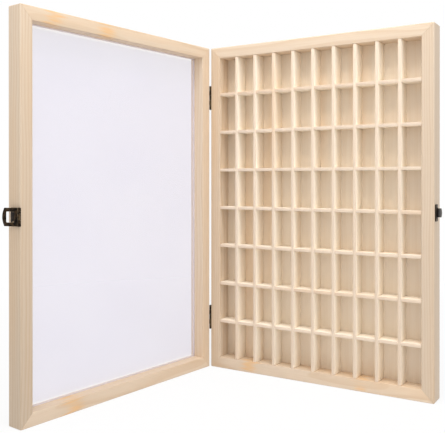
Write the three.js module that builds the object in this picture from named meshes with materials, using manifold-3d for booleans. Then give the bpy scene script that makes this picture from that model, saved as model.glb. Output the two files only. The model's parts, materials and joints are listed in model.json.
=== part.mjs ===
// Film roll display box: a shallow wooden case that opens like a book.
// The tray holds a lattice of dividers with one compartment for each roll, and the lid holds a clear panel.
// Millimetres, +Z up. The origin is at the centre of the tray's bottom face, and the compartments face -Y.
import * as THREE from "three";
import { RoundedBoxGeometry } from "three/addons/geometries/RoundedBoxGeometry.js";
import { mergeVertices } from "three/addons/utils/BufferGeometryUtils.js";
import Module from "manifold-3d";

// Compartments
const COLUMNS = 10;
const ROWS = 8;
const CELL_WIDTH = 27.5;
const CELL_HEIGHT = 54.5;
const CELL_DEPTH = 25;
const DIVIDER_THICKNESS = 4.5;
const DIVIDER_SETBACK = 0.4; // from the tray's rim to the dividers' front edges
const SLOT_CLEARANCE = 0.3; // a slot is this much wider than the divider in it
const LAP_CLEARANCE = 0.3; // between the ends of two slots that meet
const DIVIDER_FIT = 0.25; // at each end of a divider and behind it

// Wooden frames
const RAIL_WIDTH = 17;
const BACK_THICKNESS = 3;
const BACK_REBATE = 8;
const BACK_FIT = 0.25;
const LID_DEPTH = 24;
const OUTER_ROUNDING = 1.5;
const ROUNDING_STEPS = 2;
const INNER_EASING = 0.6;
const GLUE_LINE = 0.2;
const PARTING_GAP = 0.4; // between tray and lid when the case is shut

// Clear panel in the lid
const PANEL_THICKNESS = 2;
const PANEL_INSET = 17.2; // from the lid's rim to the panel's inner face
const PANEL_TONGUE = 4.5; // how far the panel reaches into its groove
const PANEL_FIT = 0.3;

// Butt hinges
const HINGE_HEIGHT = 37;
const HINGE_INSET = 78; // from the case's top or bottom to the middle of a hinge
const HINGE_OFFSET = 1.1; // from the case's side face out to the hinge axis
const HINGE_LEAF_WIDTH = 14;
const HINGE_PLATE = 0.5;
const HINGE_BARREL_RADIUS = 1.3;
const HINGE_PIN_RADIUS = 0.6;
const HINGE_PIN_CROWN = 0.5;
const HINGE_KNUCKLES = 5;
const HINGE_CORNER_RADIUS = 1.5;
const HINGE_SCREW_END = 7.5; // from the leaf's top or bottom end
const HINGE_SCREW_INSET = 5.5; // from the leaf's free edge
const KNUCKLE_GAP = 0.3;
const PIN_CLEARANCE = 0.25;
const PLATE_SEAT = 0.2; // between a metal plate and the wood under it
const LID_OPEN_DEGREES = 96; // as it stands, from shut

// Hasp on the lid
const HASP_HEIGHT = 21.8;
const HASP_PLATE = 1;
const HASP_PLATE_LENGTH = 18; // from the lid's rim to the plate's far edge
const HASP_CORNER_RADIUS = 1.5;
const HASP_AXIS_HEIGHT = 2.5; // from the lid's side face to the flap's axis
const HASP_AXIS_Y = 0.6; // from the parting plane, past the lid's rim, to the flap's axis
const HASP_BARREL_RADIUS = 2.1;
const HASP_PIN_RADIUS = 0.7;
const HASP_KNUCKLES = 3;
const HASP_SCREW_END = 3.5; // from the plate's top or bottom end
const HASP_SCREW_INSET = 5; // from the plate's far edge
const FLAP_THICKNESS = 1.2;
const FLAP_LENGTH = 19.7; // from the axis to the corners of the free end
const FLAP_BULGE = 3.2;
const FLAP_CORNER_RADIUS = 1.5;
const WINDOW_START = 6; // from the axis
const WINDOW_LENGTH = 11.8;
const WINDOW_HEIGHT = 13.5;
const WINDOW_CORNER_RADIUS = 1.2;
const FLAP_OPEN_DEGREES = 160; // as it stands, from hooked over the catch

// Catch on the tray
const CATCH_HEIGHT = 22.5;
const CATCH_LENGTH = 11.5;
const CATCH_PLATE = 1;
const CATCH_CORNER_RADIUS = 1.5;
const CATCH_EDGE_INSET = 2.5; // from the tray's rim
const CATCH_SCREW_END = 2.75; // from the plate's top or bottom end
const CATCH_SCREW_INSET = 5; // from the plate's edge at the rim
const LUG_INSET = 11; // from the tray's rim
const LUG_WIDTH = 12;
const LUG_HEIGHT = 5;
const LUG_BULGE = 0.8;
const LUG_THICKNESS = 1.4;
const LUG_LEAN_DEGREES = 10;

// Countersunk screws, alike for hinges, hasp and catch
const SCREW_HEAD_RADIUS = 2.1;
const SCREW_HEAD_CROWN = 0.3;
const SCREW_HEAD_CONE = 0.9;
const SCREW_SHANK_RADIUS = 1;
const SCREW_LENGTH = 9;
const SCREW_TIP = 2;
const SCREW_FIT = 0.25;
const SCREW_SLOT_WIDTH = 0.5;
const SCREW_SLOT_LENGTH = 2.4;
const SCREW_SLOT_DEPTH = 0.6;
const SCREW_SIDES = 14;
const BARREL_SIDES = 20;
const ARC_STEPS = 6;

const OVERRUN = 2; // how far a cutter reaches past what it cuts

// Sizes that follow from the ones above
const COLUMN_PITCH = CELL_WIDTH + DIVIDER_THICKNESS;
const ROW_PITCH = CELL_HEIGHT + DIVIDER_THICKNESS;
const OPENING_WIDTH = COLUMNS * COLUMN_PITCH - DIVIDER_THICKNESS;
const OPENING_HEIGHT = ROWS * ROW_PITCH - DIVIDER_THICKNESS;
const CASE_WIDTH = OPENING_WIDTH + 2 * RAIL_WIDTH;
const CASE_HEIGHT = OPENING_HEIGHT + 2 * RAIL_WIDTH;
const TRAY_DEPTH = CELL_DEPTH + BACK_THICKNESS;

// All is drawn from the hinge axis: X runs from it across the shut case, and Y is 0 in the parting plane.
const HINGE_SIDE = HINGE_OFFSET;
const LATCH_SIDE = HINGE_SIDE + CASE_WIDTH;
const MIDDLE = HINGE_SIDE + CASE_WIDTH / 2;
const TRAY_RIM = PARTING_GAP / 2;
const TRAY_BACK = TRAY_RIM + TRAY_DEPTH;
const LID_RIM = -PARTING_GAP / 2;
const LID_FRONT = LID_RIM - LID_DEPTH;
const HINGE_CENTRES = { upper: CASE_HEIGHT - HINGE_INSET, lower: HINGE_INSET };
const HASP_AXIS_X = LATCH_SIDE + HASP_AXIS_HEIGHT;

const wasm = await Module();
wasm.setup();

const MATERIALS = {
  pine: new THREE.MeshStandardMaterial({ color: 0xe9cfae, roughness: 0.62, metalness: 0 }),
  divider: new THREE.MeshStandardMaterial({ color: 0xf0dcc0, roughness: 0.66, metalness: 0 }),
  plywood: new THREE.MeshStandardMaterial({ color: 0xe3cba8, roughness: 0.68, metalness: 0 }),
  acrylic: new THREE.MeshStandardMaterial({
    color: 0xf0eff5,
    roughness: 0.06,
    metalness: 0,
    transparent: true,
    opacity: 0.35,
  }),
  bronze: new THREE.MeshStandardMaterial({ color: 0x3a2a1c, roughness: 0.38, metalness: 0.85 }),
  screw: new THREE.MeshStandardMaterial({ color: 0x4d4236, roughness: 0.34, metalness: 0.9 }),
};

// A closed geometry as a solid that can be cut and joined.
function solidOf(geometry) {
  const bare = geometry.clone();
  bare.deleteAttribute("normal");
  bare.deleteAttribute("uv");
  const merged = mergeVertices(bare);
  return new wasm.Manifold(
    new wasm.Mesh({
      numProp: 3,
      vertProperties: merged.attributes.position.array,
      triVerts: new Uint32Array(merged.index.array),
    }),
  );
}

function geometryOf(solid) {
  const { vertProperties, triVerts } = solid.getMesh();
  const shared = new THREE.BufferGeometry()
    .setAttribute("position", new THREE.BufferAttribute(vertProperties, 3))
    .setIndex(new THREE.BufferAttribute(triVerts, 1));
  const faceted = shared.toNonIndexed();
  faceted.computeVertexNormals();
  return faceted;
}

function piece(name, solid, material) {
  const mesh = new THREE.Mesh(geometryOf(solid), material);
  mesh.name = name;
  return mesh;
}

function box([x0, y0, z0], [x1, y1, z1]) {
  const geometry = new THREE.BoxGeometry(x1 - x0, y1 - y0, z1 - z0);
  return solidOf(geometry.translate((x0 + x1) / 2, (y0 + y1) / 2, (z0 + z1) / 2));
}

// The world axes that a shape's own x, its own y and its extrusion follow.
const X = new THREE.Vector3(1, 0, 0);
const Y = new THREE.Vector3(0, 1, 0);
const Z = new THREE.Vector3(0, 0, 1);
const PLANES = {
  xy: [X, Y, Z],
  yz: [Y, Z, X],
  zx: [Z, X, Y],
};

// A shape drawn in one plane and extruded square to it, from one place to another.
function prism(shape, plane, from, to, settings = {}) {
  const geometry = new THREE.ExtrudeGeometry(shape, {
    depth: to - from,
    bevelEnabled: false,
    curveSegments: ARC_STEPS,
    ...settings,
  });
  geometry.translate(0, 0, from);
  return solidOf(geometry.applyMatrix4(new THREE.Matrix4().makeBasis(...PLANES[plane])));
}

function polygon(points) {
  return new THREE.Shape(points.map(([a, b]) => new THREE.Vector2(a, b)));
}

function rectangle(a0, b0, a1, b1) {
  return polygon([[a0, b0], [a1, b0], [a1, b1], [a0, b1]]);
}

function roundedRectangle(a0, b0, a1, b1, radius) {
  const shape = new THREE.Shape();
  shape.moveTo(a0 + radius, b0);
  shape.lineTo(a1 - radius, b0);
  shape.absarc(a1 - radius, b0 + radius, radius, -Math.PI / 2, 0);
  shape.lineTo(a1, b1 - radius);
  shape.absarc(a1 - radius, b1 - radius, radius, 0, Math.PI / 2);
  shape.lineTo(a0 + radius, b1);
  shape.absarc(a0 + radius, b1 - radius, radius, Math.PI / 2, Math.PI);
  shape.lineTo(a0, b0 + radius);
  shape.absarc(a0 + radius, b0 + radius, radius, Math.PI, (3 * Math.PI) / 2);
  return shape;
}

// A round bar along Z.
function bar(radius, z0, z1, x = 0, y = 0, sides = BARREL_SIDES) {
  const geometry = new THREE.CylinderGeometry(radius, radius, z1 - z0, sides);
  geometry.rotateX(Math.PI / 2).translate(x, y, (z0 + z1) / 2);
  return solidOf(geometry);
}

// A frame before it is sawn at its mitres: rounded outside and open inside,
// with its inner edges eased at the open faces.
function frameRing(yLow, yHigh, openFaces) {
  const block = new RoundedBoxGeometry(
    CASE_WIDTH,
    yHigh - yLow,
    CASE_HEIGHT,
    ROUNDING_STEPS,
    OUTER_ROUNDING,
  );
  block.translate(MIDDLE, (yLow + yHigh) / 2, CASE_HEIGHT / 2);
  const opening = rectangle(
    RAIL_WIDTH,
    HINGE_SIDE + RAIL_WIDTH,
    CASE_HEIGHT - RAIL_WIDTH,
    LATCH_SIDE - RAIL_WIDTH,
  );
  const through = prism(opening, "zx", yLow - OVERRUN, yHigh + OVERRUN);
  const easing = {
    bevelEnabled: true,
    bevelThickness: INNER_EASING,
    bevelSize: INNER_EASING,
    bevelSegments: 1,
  };
  return openFaces.reduce(
    (ring, face) => ring.subtract(prism(opening, "zx", face, face, easing)),
    solidOf(block).subtract(through),
  );
}

// The stretch of a frame between two mitres, as a block that keeps only that side of the frame.
function mitredSide(side, yLow, yHigh) {
  const saw = GLUE_LINE * Math.SQRT1_2; // half the glue line, measured along a side
  const inner = RAIL_WIDTH + OVERRUN;
  const outlines = {
    bottom: [
      [-OVERRUN, saw - OVERRUN],
      [-OVERRUN, CASE_WIDTH - saw + OVERRUN],
      [inner, CASE_WIDTH - saw - inner],
      [inner, saw + inner],
    ],
    hinge: [
      [saw - OVERRUN, -OVERRUN],
      [saw + inner, inner],
      [CASE_HEIGHT - saw - inner, inner],
      [CASE_HEIGHT - saw + OVERRUN, -OVERRUN],
    ],
  };
  outlines.top = outlines.bottom.map(([z, x]) => [CASE_HEIGHT - z, x]).reverse();
  outlines.latch = outlines.hinge.map(([z, x]) => [z, CASE_WIDTH - x]).reverse();
  const outline = outlines[side].map(([z, x]) => [z, x + HINGE_SIDE]);
  return prism(polygon(outline), "zx", yLow - OVERRUN, yHigh + OVERRUN);
}

// A screw hole through wood, from a side face inwards: direction is 1 or -1 along X.
function pilotHole(face, direction, y, z) {
  const end = face + direction * (SCREW_LENGTH + SCREW_FIT);
  const start = face - direction * OVERRUN;
  const geometry = new THREE.CylinderGeometry(
    SCREW_SHANK_RADIUS + SCREW_FIT,
    SCREW_SHANK_RADIUS + SCREW_FIT,
    Math.abs(end - start),
    SCREW_SIDES,
  );
  return solidOf(geometry.rotateZ(Math.PI / 2).translate((start + end) / 2, y, z));
}

// Where each screw stands: side face, way in, place in Y and Z, and thickness of the plate under its head.
function hingeScrews(side) {
  const y = side * (HINGE_LEAF_WIDTH - HINGE_SCREW_INSET);
  return Object.entries(HINGE_CENTRES).flatMap(([hinge, centre]) =>
    [1, -1].map((row, i) => ({
      name: `${hinge}_hinge_${side > 0 ? "tray" : "lid"}_screw_${i + 1}`,
      face: HINGE_SIDE,
      direction: 1,
      y,
      z: centre + row * (HINGE_HEIGHT / 2 - HINGE_SCREW_END),
      plate: HINGE_PLATE,
    })),
  );
}

function latchScrews(name, y, fromMiddle, plate) {
  return [1, -1].map((row, i) => ({
    name: `${name}_screw_${i + 1}`,
    face: LATCH_SIDE,
    direction: -1,
    y,
    z: CASE_HEIGHT / 2 + row * fromMiddle,
    plate,
  }));
}

const TRAY_HINGE_SCREWS = hingeScrews(1);
const LID_HINGE_SCREWS = hingeScrews(-1);
const HASP_SCREW_Y = LID_RIM - HASP_PLATE_LENGTH + HASP_SCREW_INSET;
const CATCH_SCREW_Y = TRAY_RIM + CATCH_EDGE_INSET + CATCH_SCREW_INSET;
const HASP_SCREW_Z = HASP_HEIGHT / 2 - HASP_SCREW_END;
const CATCH_SCREW_Z = CATCH_HEIGHT / 2 - CATCH_SCREW_END;
const HASP_SCREWS = latchScrews("hasp", HASP_SCREW_Y, HASP_SCREW_Z, HASP_PLATE);
const CATCH_SCREWS = latchScrews("catch", CATCH_SCREW_Y, CATCH_SCREW_Z, CATCH_PLATE);

function drilled(wood, screws) {
  return screws.reduce((left, s) => left.subtract(pilotHole(s.face, s.direction, s.y, s.z)), wood);
}

// A countersunk screw with a crowned head and a cross recess, turned about its own axis and then laid in.
function screw({ name, face, direction, y, z, plate }) {
  const top = PLATE_SEAT + plate + SCREW_HEAD_CROWN;
  const neck = top - SCREW_HEAD_CROWN - SCREW_HEAD_CONE;
  const profile = [
    [0, top - SCREW_HEAD_CROWN - SCREW_LENGTH],
    [SCREW_SHANK_RADIUS, top - SCREW_HEAD_CROWN - SCREW_LENGTH + SCREW_TIP],
    [SCREW_SHANK_RADIUS, neck],
    [SCREW_HEAD_RADIUS, top - SCREW_HEAD_CROWN],
    [SCREW_HEAD_RADIUS / 2, top - SCREW_HEAD_CROWN / 4],
    [0, top],
  ];
  const turned = new THREE.LatheGeometry(
    profile.map(([r, h]) => new THREE.Vector2(r, h)),
    SCREW_SIDES,
  );
  const floor = top - SCREW_SLOT_DEPTH;
  const half = [SCREW_SLOT_LENGTH / 2, SCREW_SLOT_WIDTH / 2];
  const slots = [half, [...half].reverse()].map(([a, b]) =>
    box([-a, floor, -b], [a, top + OVERRUN, b]),
  );
  const cut = slots.reduce((left, slot) => left.subtract(slot), solidOf(turned));
  const mesh = piece(name, cut, MATERIALS.screw);
  mesh.rotation.z = (direction * Math.PI) / 2;
  mesh.position.set(face, y, z);
  return mesh;
}

// The hole and countersink that such a screw needs in its plate.
function countersink({ face, direction, y, z, plate }) {
  const outside = PLATE_SEAT + plate;
  const widest = SCREW_HEAD_RADIUS + SCREW_FIT;
  const narrow = SCREW_SHANK_RADIUS + SCREW_FIT;
  const slope = (SCREW_HEAD_RADIUS - SCREW_SHANK_RADIUS) / SCREW_HEAD_CONE;
  const bottom = outside - (widest - narrow) / slope;
  const turned = new THREE.LatheGeometry(
    [
      [0, bottom - OVERRUN],
      [narrow, bottom - OVERRUN],
      [narrow, bottom],
      [widest, outside],
      [widest, outside + OVERRUN],
      [0, outside + OVERRUN],
    ].map(([r, h]) => new THREE.Vector2(r, h)),
    SCREW_SIDES,
  );
  return solidOf(turned.rotateZ((direction * Math.PI) / 2).translate(face, y, z));
}

function sunk(plate, screws) {
  return screws.reduce((left, s) => left.subtract(countersink(s)), plate);
}

// Tray frame: four mitred pieces with a rebate behind for the back panel.
function trayFrame() {
  const rebate = rectangle(
    RAIL_WIDTH - BACK_REBATE,
    HINGE_SIDE + RAIL_WIDTH - BACK_REBATE,
    CASE_HEIGHT - RAIL_WIDTH + BACK_REBATE,
    LATCH_SIDE - RAIL_WIDTH + BACK_REBATE,
  );
  const ring = frameRing(TRAY_RIM, TRAY_BACK, [TRAY_RIM]).subtract(
    prism(rebate, "zx", TRAY_BACK - BACK_THICKNESS, TRAY_BACK + OVERRUN),
  );
  const side = (name) => ring.intersect(mitredSide(name, TRAY_RIM, TRAY_BACK));
  return [
    piece("tray_rail_top", side("top"), MATERIALS.pine),
    piece("tray_rail_bottom", side("bottom"), MATERIALS.pine),
    piece("tray_stile_hinge_side", drilled(side("hinge"), TRAY_HINGE_SCREWS), MATERIALS.pine),
    piece("tray_stile_latch_side", drilled(side("latch"), CATCH_SCREWS), MATERIALS.pine),
  ];
}

function backPanel() {
  const edge = RAIL_WIDTH - BACK_REBATE + BACK_FIT;
  const panel = box(
    [HINGE_SIDE + edge, TRAY_BACK - BACK_THICKNESS, edge],
    [LATCH_SIDE - edge, TRAY_BACK, CASE_HEIGHT - edge],
  );
  return piece("back_panel", panel, MATERIALS.plywood);
}

// The lattice is an egg crate. Where two dividers cross, each is notched to its middle.
const DIVIDER_FRONT = TRAY_RIM + DIVIDER_SETBACK;
const DIVIDER_BACK = TRAY_BACK - BACK_THICKNESS - DIVIDER_FIT;
const LAP_MIDDLE = (DIVIDER_FRONT + DIVIDER_BACK) / 2;
const HALF_SLOT = (DIVIDER_THICKNESS + SLOT_CLEARANCE) / 2;

const columnLine = (i) => HINGE_SIDE + RAIL_WIDTH + i * COLUMN_PITCH - DIVIDER_THICKNESS / 2;
const rowLine = (i) => RAIL_WIDTH + i * ROW_PITCH - DIVIDER_THICKNESS / 2;

// A divider's outline: its plain edge, then its notched edge back again.
function notchedOutline(start, end, plainEdge, notchedEdge, notchEnd, lines) {
  const back = [...lines].reverse().flatMap((line) => [
    [line + HALF_SLOT, notchedEdge],
    [line + HALF_SLOT, notchEnd],
    [line - HALF_SLOT, notchEnd],
    [line - HALF_SLOT, notchedEdge],
  ]);
  return [[start, plainEdge], [end, plainEdge], [end, notchedEdge], ...back, [start, notchedEdge]];
}

// Vertical dividers are notched from behind, so their front edges run unbroken.
function verticalDividers() {
  const rows = Array.from({ length: ROWS - 1 }, (_, i) => rowLine(i + 1));
  const outline = notchedOutline(
    RAIL_WIDTH + DIVIDER_FIT,
    CASE_HEIGHT - RAIL_WIDTH - DIVIDER_FIT,
    DIVIDER_FRONT,
    DIVIDER_BACK,
    LAP_MIDDLE - LAP_CLEARANCE / 2,
    rows,
  );
  const shape = polygon(outline.map(([z, y]) => [y, z]).reverse());
  return Array.from({ length: COLUMNS - 1 }, (_, i) => {
    const middle = columnLine(i + 1);
    const half = DIVIDER_THICKNESS / 2;
    const solid = prism(shape, "yz", middle - half, middle + half);
    return piece(`vertical_divider_${i + 1}`, solid, MATERIALS.divider);
  });
}

// Horizontal dividers are notched from the front and drop in behind the vertical ones' front edges.
function horizontalDividers() {
  const columns = Array.from({ length: COLUMNS - 1 }, (_, i) => columnLine(i + 1));
  const outline = notchedOutline(
    HINGE_SIDE + RAIL_WIDTH + DIVIDER_FIT,
    LATCH_SIDE - RAIL_WIDTH - DIVIDER_FIT,
    DIVIDER_BACK,
    DIVIDER_FRONT,
    LAP_MIDDLE + LAP_CLEARANCE / 2,
    columns,
  );
  const shape = polygon([...outline].reverse());
  return Array.from({ length: ROWS - 1 }, (_, i) => {
    const middle = rowLine(i + 1);
    const half = DIVIDER_THICKNESS / 2;
    const solid = prism(shape, "xy", middle - half, middle + half);
    return piece(`horizontal_divider_${i + 1}`, solid, MATERIALS.divider);
  });
}

// Lid frame: four mitred pieces with a groove all round for the clear panel.
const PANEL_INNER = LID_RIM - PANEL_INSET;
const PANEL_OUTER = PANEL_INNER - PANEL_THICKNESS;

function lidFrame() {
  const reach = RAIL_WIDTH - PANEL_TONGUE - PANEL_FIT;
  const groove = rectangle(reach, HINGE_SIDE + reach, CASE_HEIGHT - reach, LATCH_SIDE - reach);
  const ring = frameRing(LID_FRONT, LID_RIM, [LID_RIM, LID_FRONT]).subtract(
    prism(groove, "zx", PANEL_OUTER - PANEL_FIT, PANEL_INNER + PANEL_FIT),
  );
  const side = (name) => ring.intersect(mitredSide(name, LID_FRONT, LID_RIM));
  return [
    piece("lid_rail_top", side("top"), MATERIALS.pine),
    piece("lid_rail_bottom", side("bottom"), MATERIALS.pine),
    piece("lid_stile_hinge_side", drilled(side("hinge"), LID_HINGE_SCREWS), MATERIALS.pine),
    piece("lid_stile_latch_side", drilled(side("latch"), HASP_SCREWS), MATERIALS.pine),
  ];
}

function lidPanel() {
  const edge = RAIL_WIDTH - PANEL_TONGUE;
  const panel = box(
    [HINGE_SIDE + edge, PANEL_OUTER, edge],
    [LATCH_SIDE - edge, PANEL_INNER, CASE_HEIGHT - edge],
  );
  return piece("lid_panel", panel, MATERIALS.acrylic);
}

// The stretches that the knuckles of a barrel fill, one above the other.
function knuckleSpans(centre, height, count) {
  const length = (height - (count - 1) * KNUCKLE_GAP) / count;
  return Array.from({ length: count }, (_, i) => {
    const low = centre - height / 2 + i * (length + KNUCKLE_GAP);
    return [low, low + length];
  });
}

// A hinge leaf: its plate lies on the side face, and its knuckles are rolled round the pin.
function hingeLeaf(hinge, side, screws) {
  const centre = HINGE_CENTRES[hinge];
  const outside = HINGE_SIDE - PLATE_SEAT - HINGE_PLATE;
  const inside = HINGE_SIDE - PLATE_SEAT;
  const clear = HINGE_BARREL_RADIUS + KNUCKLE_GAP;
  const [low, high] = [centre - HINGE_HEIGHT / 2, centre + HINGE_HEIGHT / 2];
  const edges = [side * clear, side * HINGE_LEAF_WIDTH].sort((a, b) => a - b);
  const outline = roundedRectangle(edges[0], low, edges[1], high, HINGE_CORNER_RADIUS);
  const plate = prism(outline, "yz", outside, inside);
  const own = knuckleSpans(centre, HINGE_HEIGHT, HINGE_KNUCKLES).filter(
    (_, i) => i % 2 === (side > 0 ? 0 : 1),
  );
  const reach = [0, side * (clear + HINGE_CORNER_RADIUS)].sort((a, b) => a - b);
  const knuckles = own.map(([z0, z1]) =>
    bar(HINGE_BARREL_RADIUS, z0, z1).add(box([outside, reach[0], z0], [inside, reach[1], z1])),
  );
  const bore = bar(HINGE_PIN_RADIUS + PIN_CLEARANCE, low - OVERRUN, high + OVERRUN);
  const leaf = knuckles.reduce((joined, knuckle) => joined.add(knuckle), plate).subtract(bore);
  const ownScrews = screws.filter((s) => s.name.startsWith(hinge));
  const name = `${hinge}_hinge_${side > 0 ? "tray" : "lid"}_leaf`;
  return piece(name, sunk(leaf, ownScrews), MATERIALS.bronze);
}

// A pin with a crowned button at both ends, peened over the barrel.
function crownedPin(name, radius, low, high, crown, x, y) {
  const turned = new THREE.LatheGeometry(
    [
      [0, low - crown],
      [radius, low - crown / 2],
      [radius, high + crown / 2],
      [0, high + crown],
    ].map(([r, h]) => new THREE.Vector2(r, h)),
    BARREL_SIDES,
  );
  return piece(name, solidOf(turned.rotateX(Math.PI / 2).translate(x, y, 0)), MATERIALS.bronze);
}

function hingePin(hinge) {
  const centre = HINGE_CENTRES[hinge];
  const half = HINGE_HEIGHT / 2;
  const [low, high] = [centre - half, centre + half];
  return crownedPin(`${hinge}_hinge_pin`, HINGE_PIN_RADIUS, low, high, HINGE_PIN_CROWN, 0, 0);
}

const HASP_LOW = (CASE_HEIGHT - HASP_HEIGHT) / 2;
const HASP_HIGH = (CASE_HEIGHT + HASP_HEIGHT) / 2;
const HASP_SPANS = knuckleSpans(CASE_HEIGHT / 2, HASP_HEIGHT, HASP_KNUCKLES);
const HASP_BORE_RADIUS = HASP_PIN_RADIUS + PIN_CLEARANCE;

// The hasp's base: a plate on the lid's side face with two knuckles at the rim.
function haspBase() {
  const inside = LATCH_SIDE + PLATE_SEAT;
  const outside = inside + HASP_PLATE;
  const far = LID_RIM - HASP_PLATE_LENGTH;
  const near = HASP_AXIS_Y - HASP_BARREL_RADIUS - KNUCKLE_GAP;
  const outline = roundedRectangle(far, HASP_LOW, near, HASP_HIGH, HASP_CORNER_RADIUS);
  const plate = prism(outline, "yz", inside, outside);
  const knuckles = [HASP_SPANS[0], HASP_SPANS[HASP_KNUCKLES - 1]].map(([z0, z1]) =>
    bar(HASP_BARREL_RADIUS, z0, z1, HASP_AXIS_X, HASP_AXIS_Y).add(
      box([inside, near - HASP_CORNER_RADIUS, z0], [outside, HASP_AXIS_Y, z1]),
    ),
  );
  const bore = bar(
    HASP_BORE_RADIUS,
    HASP_LOW - OVERRUN,
    HASP_HIGH + OVERRUN,
    HASP_AXIS_X,
    HASP_AXIS_Y,
  );
  const base = knuckles.reduce((joined, knuckle) => joined.add(knuckle), plate).subtract(bore);
  return piece("hasp_base_plate", sunk(base, HASP_SCREWS), MATERIALS.bronze);
}

function haspPin() {
  return crownedPin(
    "hasp_pin",
    HASP_PIN_RADIUS,
    HASP_LOW,
    HASP_HIGH,
    HINGE_PIN_CROWN,
    HASP_AXIS_X,
    HASP_AXIS_Y,
  );
}

// The flap, drawn from its own axis as it lies when hooked: its free end is bowed, with a window for the lug.
function haspFlap() {
  const half = HASP_HEIGHT / 2;
  const start = HASP_BARREL_RADIUS + KNUCKLE_GAP;
  const outline = new THREE.Shape();
  outline.moveTo(start, -half);
  outline.lineTo(FLAP_LENGTH - FLAP_CORNER_RADIUS, -half);
  outline.quadraticCurveTo(FLAP_LENGTH, -half, FLAP_LENGTH, -half + FLAP_CORNER_RADIUS);
  outline.quadraticCurveTo(
    FLAP_LENGTH + 2 * FLAP_BULGE,
    0,
    FLAP_LENGTH,
    half - FLAP_CORNER_RADIUS,
  );
  outline.quadraticCurveTo(FLAP_LENGTH, half, FLAP_LENGTH - FLAP_CORNER_RADIUS, half);
  outline.lineTo(start, half);
  outline.holes.push(
    roundedRectangle(
      WINDOW_START,
      -WINDOW_HEIGHT / 2,
      WINDOW_START + WINDOW_LENGTH,
      WINDOW_HEIGHT / 2,
      WINDOW_CORNER_RADIUS,
    ),
  );
  const plate = prism(outline, "yz", -FLAP_THICKNESS / 2, FLAP_THICKNESS / 2);
  const [low, high] = HASP_SPANS[1].map((z) => z - CASE_HEIGHT / 2);
  const knuckle = bar(HASP_BARREL_RADIUS, low, high);
  const tongue = box([-FLAP_THICKNESS / 2, 0, low], [FLAP_THICKNESS / 2, start + FLAP_THICKNESS, high]);
  const bore = bar(HASP_BORE_RADIUS, low - OVERRUN, high + OVERRUN);
  const solid = plate.add(knuckle).add(tongue).subtract(bore);
  return piece("hasp_flap", solid, MATERIALS.bronze);
}

// The catch: a plate on the tray's side face with an upstanding, leaning lug whose edge is bowed.
function catchPlate() {
  const inside = LATCH_SIDE + PLATE_SEAT;
  const outside = inside + CATCH_PLATE;
  const near = TRAY_RIM + CATCH_EDGE_INSET;
  const middle = CASE_HEIGHT / 2;
  const outline = roundedRectangle(
    near,
    middle - CATCH_HEIGHT / 2,
    near + CATCH_LENGTH,
    middle + CATCH_HEIGHT / 2,
    CATCH_CORNER_RADIUS,
  );
  const plate = prism(outline, "yz", inside, outside);
  const lug = new THREE.Shape();
  lug.moveTo(-LUG_WIDTH / 2, 0);
  lug.lineTo(LUG_WIDTH / 2, 0);
  lug.lineTo(LUG_WIDTH / 2, CATCH_PLATE / 2 + LUG_HEIGHT);
  lug.quadraticCurveTo(
    0,
    CATCH_PLATE / 2 + LUG_HEIGHT + 2 * LUG_BULGE,
    -LUG_WIDTH / 2,
    CATCH_PLATE / 2 + LUG_HEIGHT,
  );
  const upstand = prism(lug, "zx", 0, LUG_THICKNESS)
    .rotate([0, 0, LUG_LEAN_DEGREES])
    .translate([inside + CATCH_PLATE / 2, TRAY_RIM + LUG_INSET, middle]);
  return piece("catch_plate", sunk(plate.add(upstand), CATCH_SCREWS), MATERIALS.bronze);
}

const tray = new THREE.Group();
tray.add(
  ...trayFrame(),
  backPanel(),
  ...verticalDividers(),
  ...horizontalDividers(),
  hingeLeaf("upper", 1, TRAY_HINGE_SCREWS),
  hingeLeaf("lower", 1, TRAY_HINGE_SCREWS),
  hingePin("upper"),
  hingePin("lower"),
  ...TRAY_HINGE_SCREWS.map(screw),
  catchPlate(),
  ...CATCH_SCREWS.map(screw),
);

const flap = new THREE.Group();
flap.add(haspFlap());
flap.position.set(HASP_AXIS_X, HASP_AXIS_Y, CASE_HEIGHT / 2);
flap.rotation.z = -THREE.MathUtils.degToRad(FLAP_OPEN_DEGREES);

const lid = new THREE.Group();
lid.add(
  ...lidFrame(),
  lidPanel(),
  hingeLeaf("upper", -1, LID_HINGE_SCREWS),
  hingeLeaf("lower", -1, LID_HINGE_SCREWS),
  ...LID_HINGE_SCREWS.map(screw),
  haspBase(),
  haspPin(),
  ...HASP_SCREWS.map(screw),
  flap,
);
lid.rotation.z = -THREE.MathUtils.degToRad(LID_OPEN_DEGREES);

const filmRollDisplayBox = new THREE.Group();
filmRollDisplayBox.add(tray, lid);
filmRollDisplayBox.position.set(-MIDDLE, -(TRAY_RIM + TRAY_BACK) / 2, 0);

export default filmRollDisplayBox;
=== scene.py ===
import json
import math

import bmesh
import bpy
from mathutils import Matrix, Vector


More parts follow.
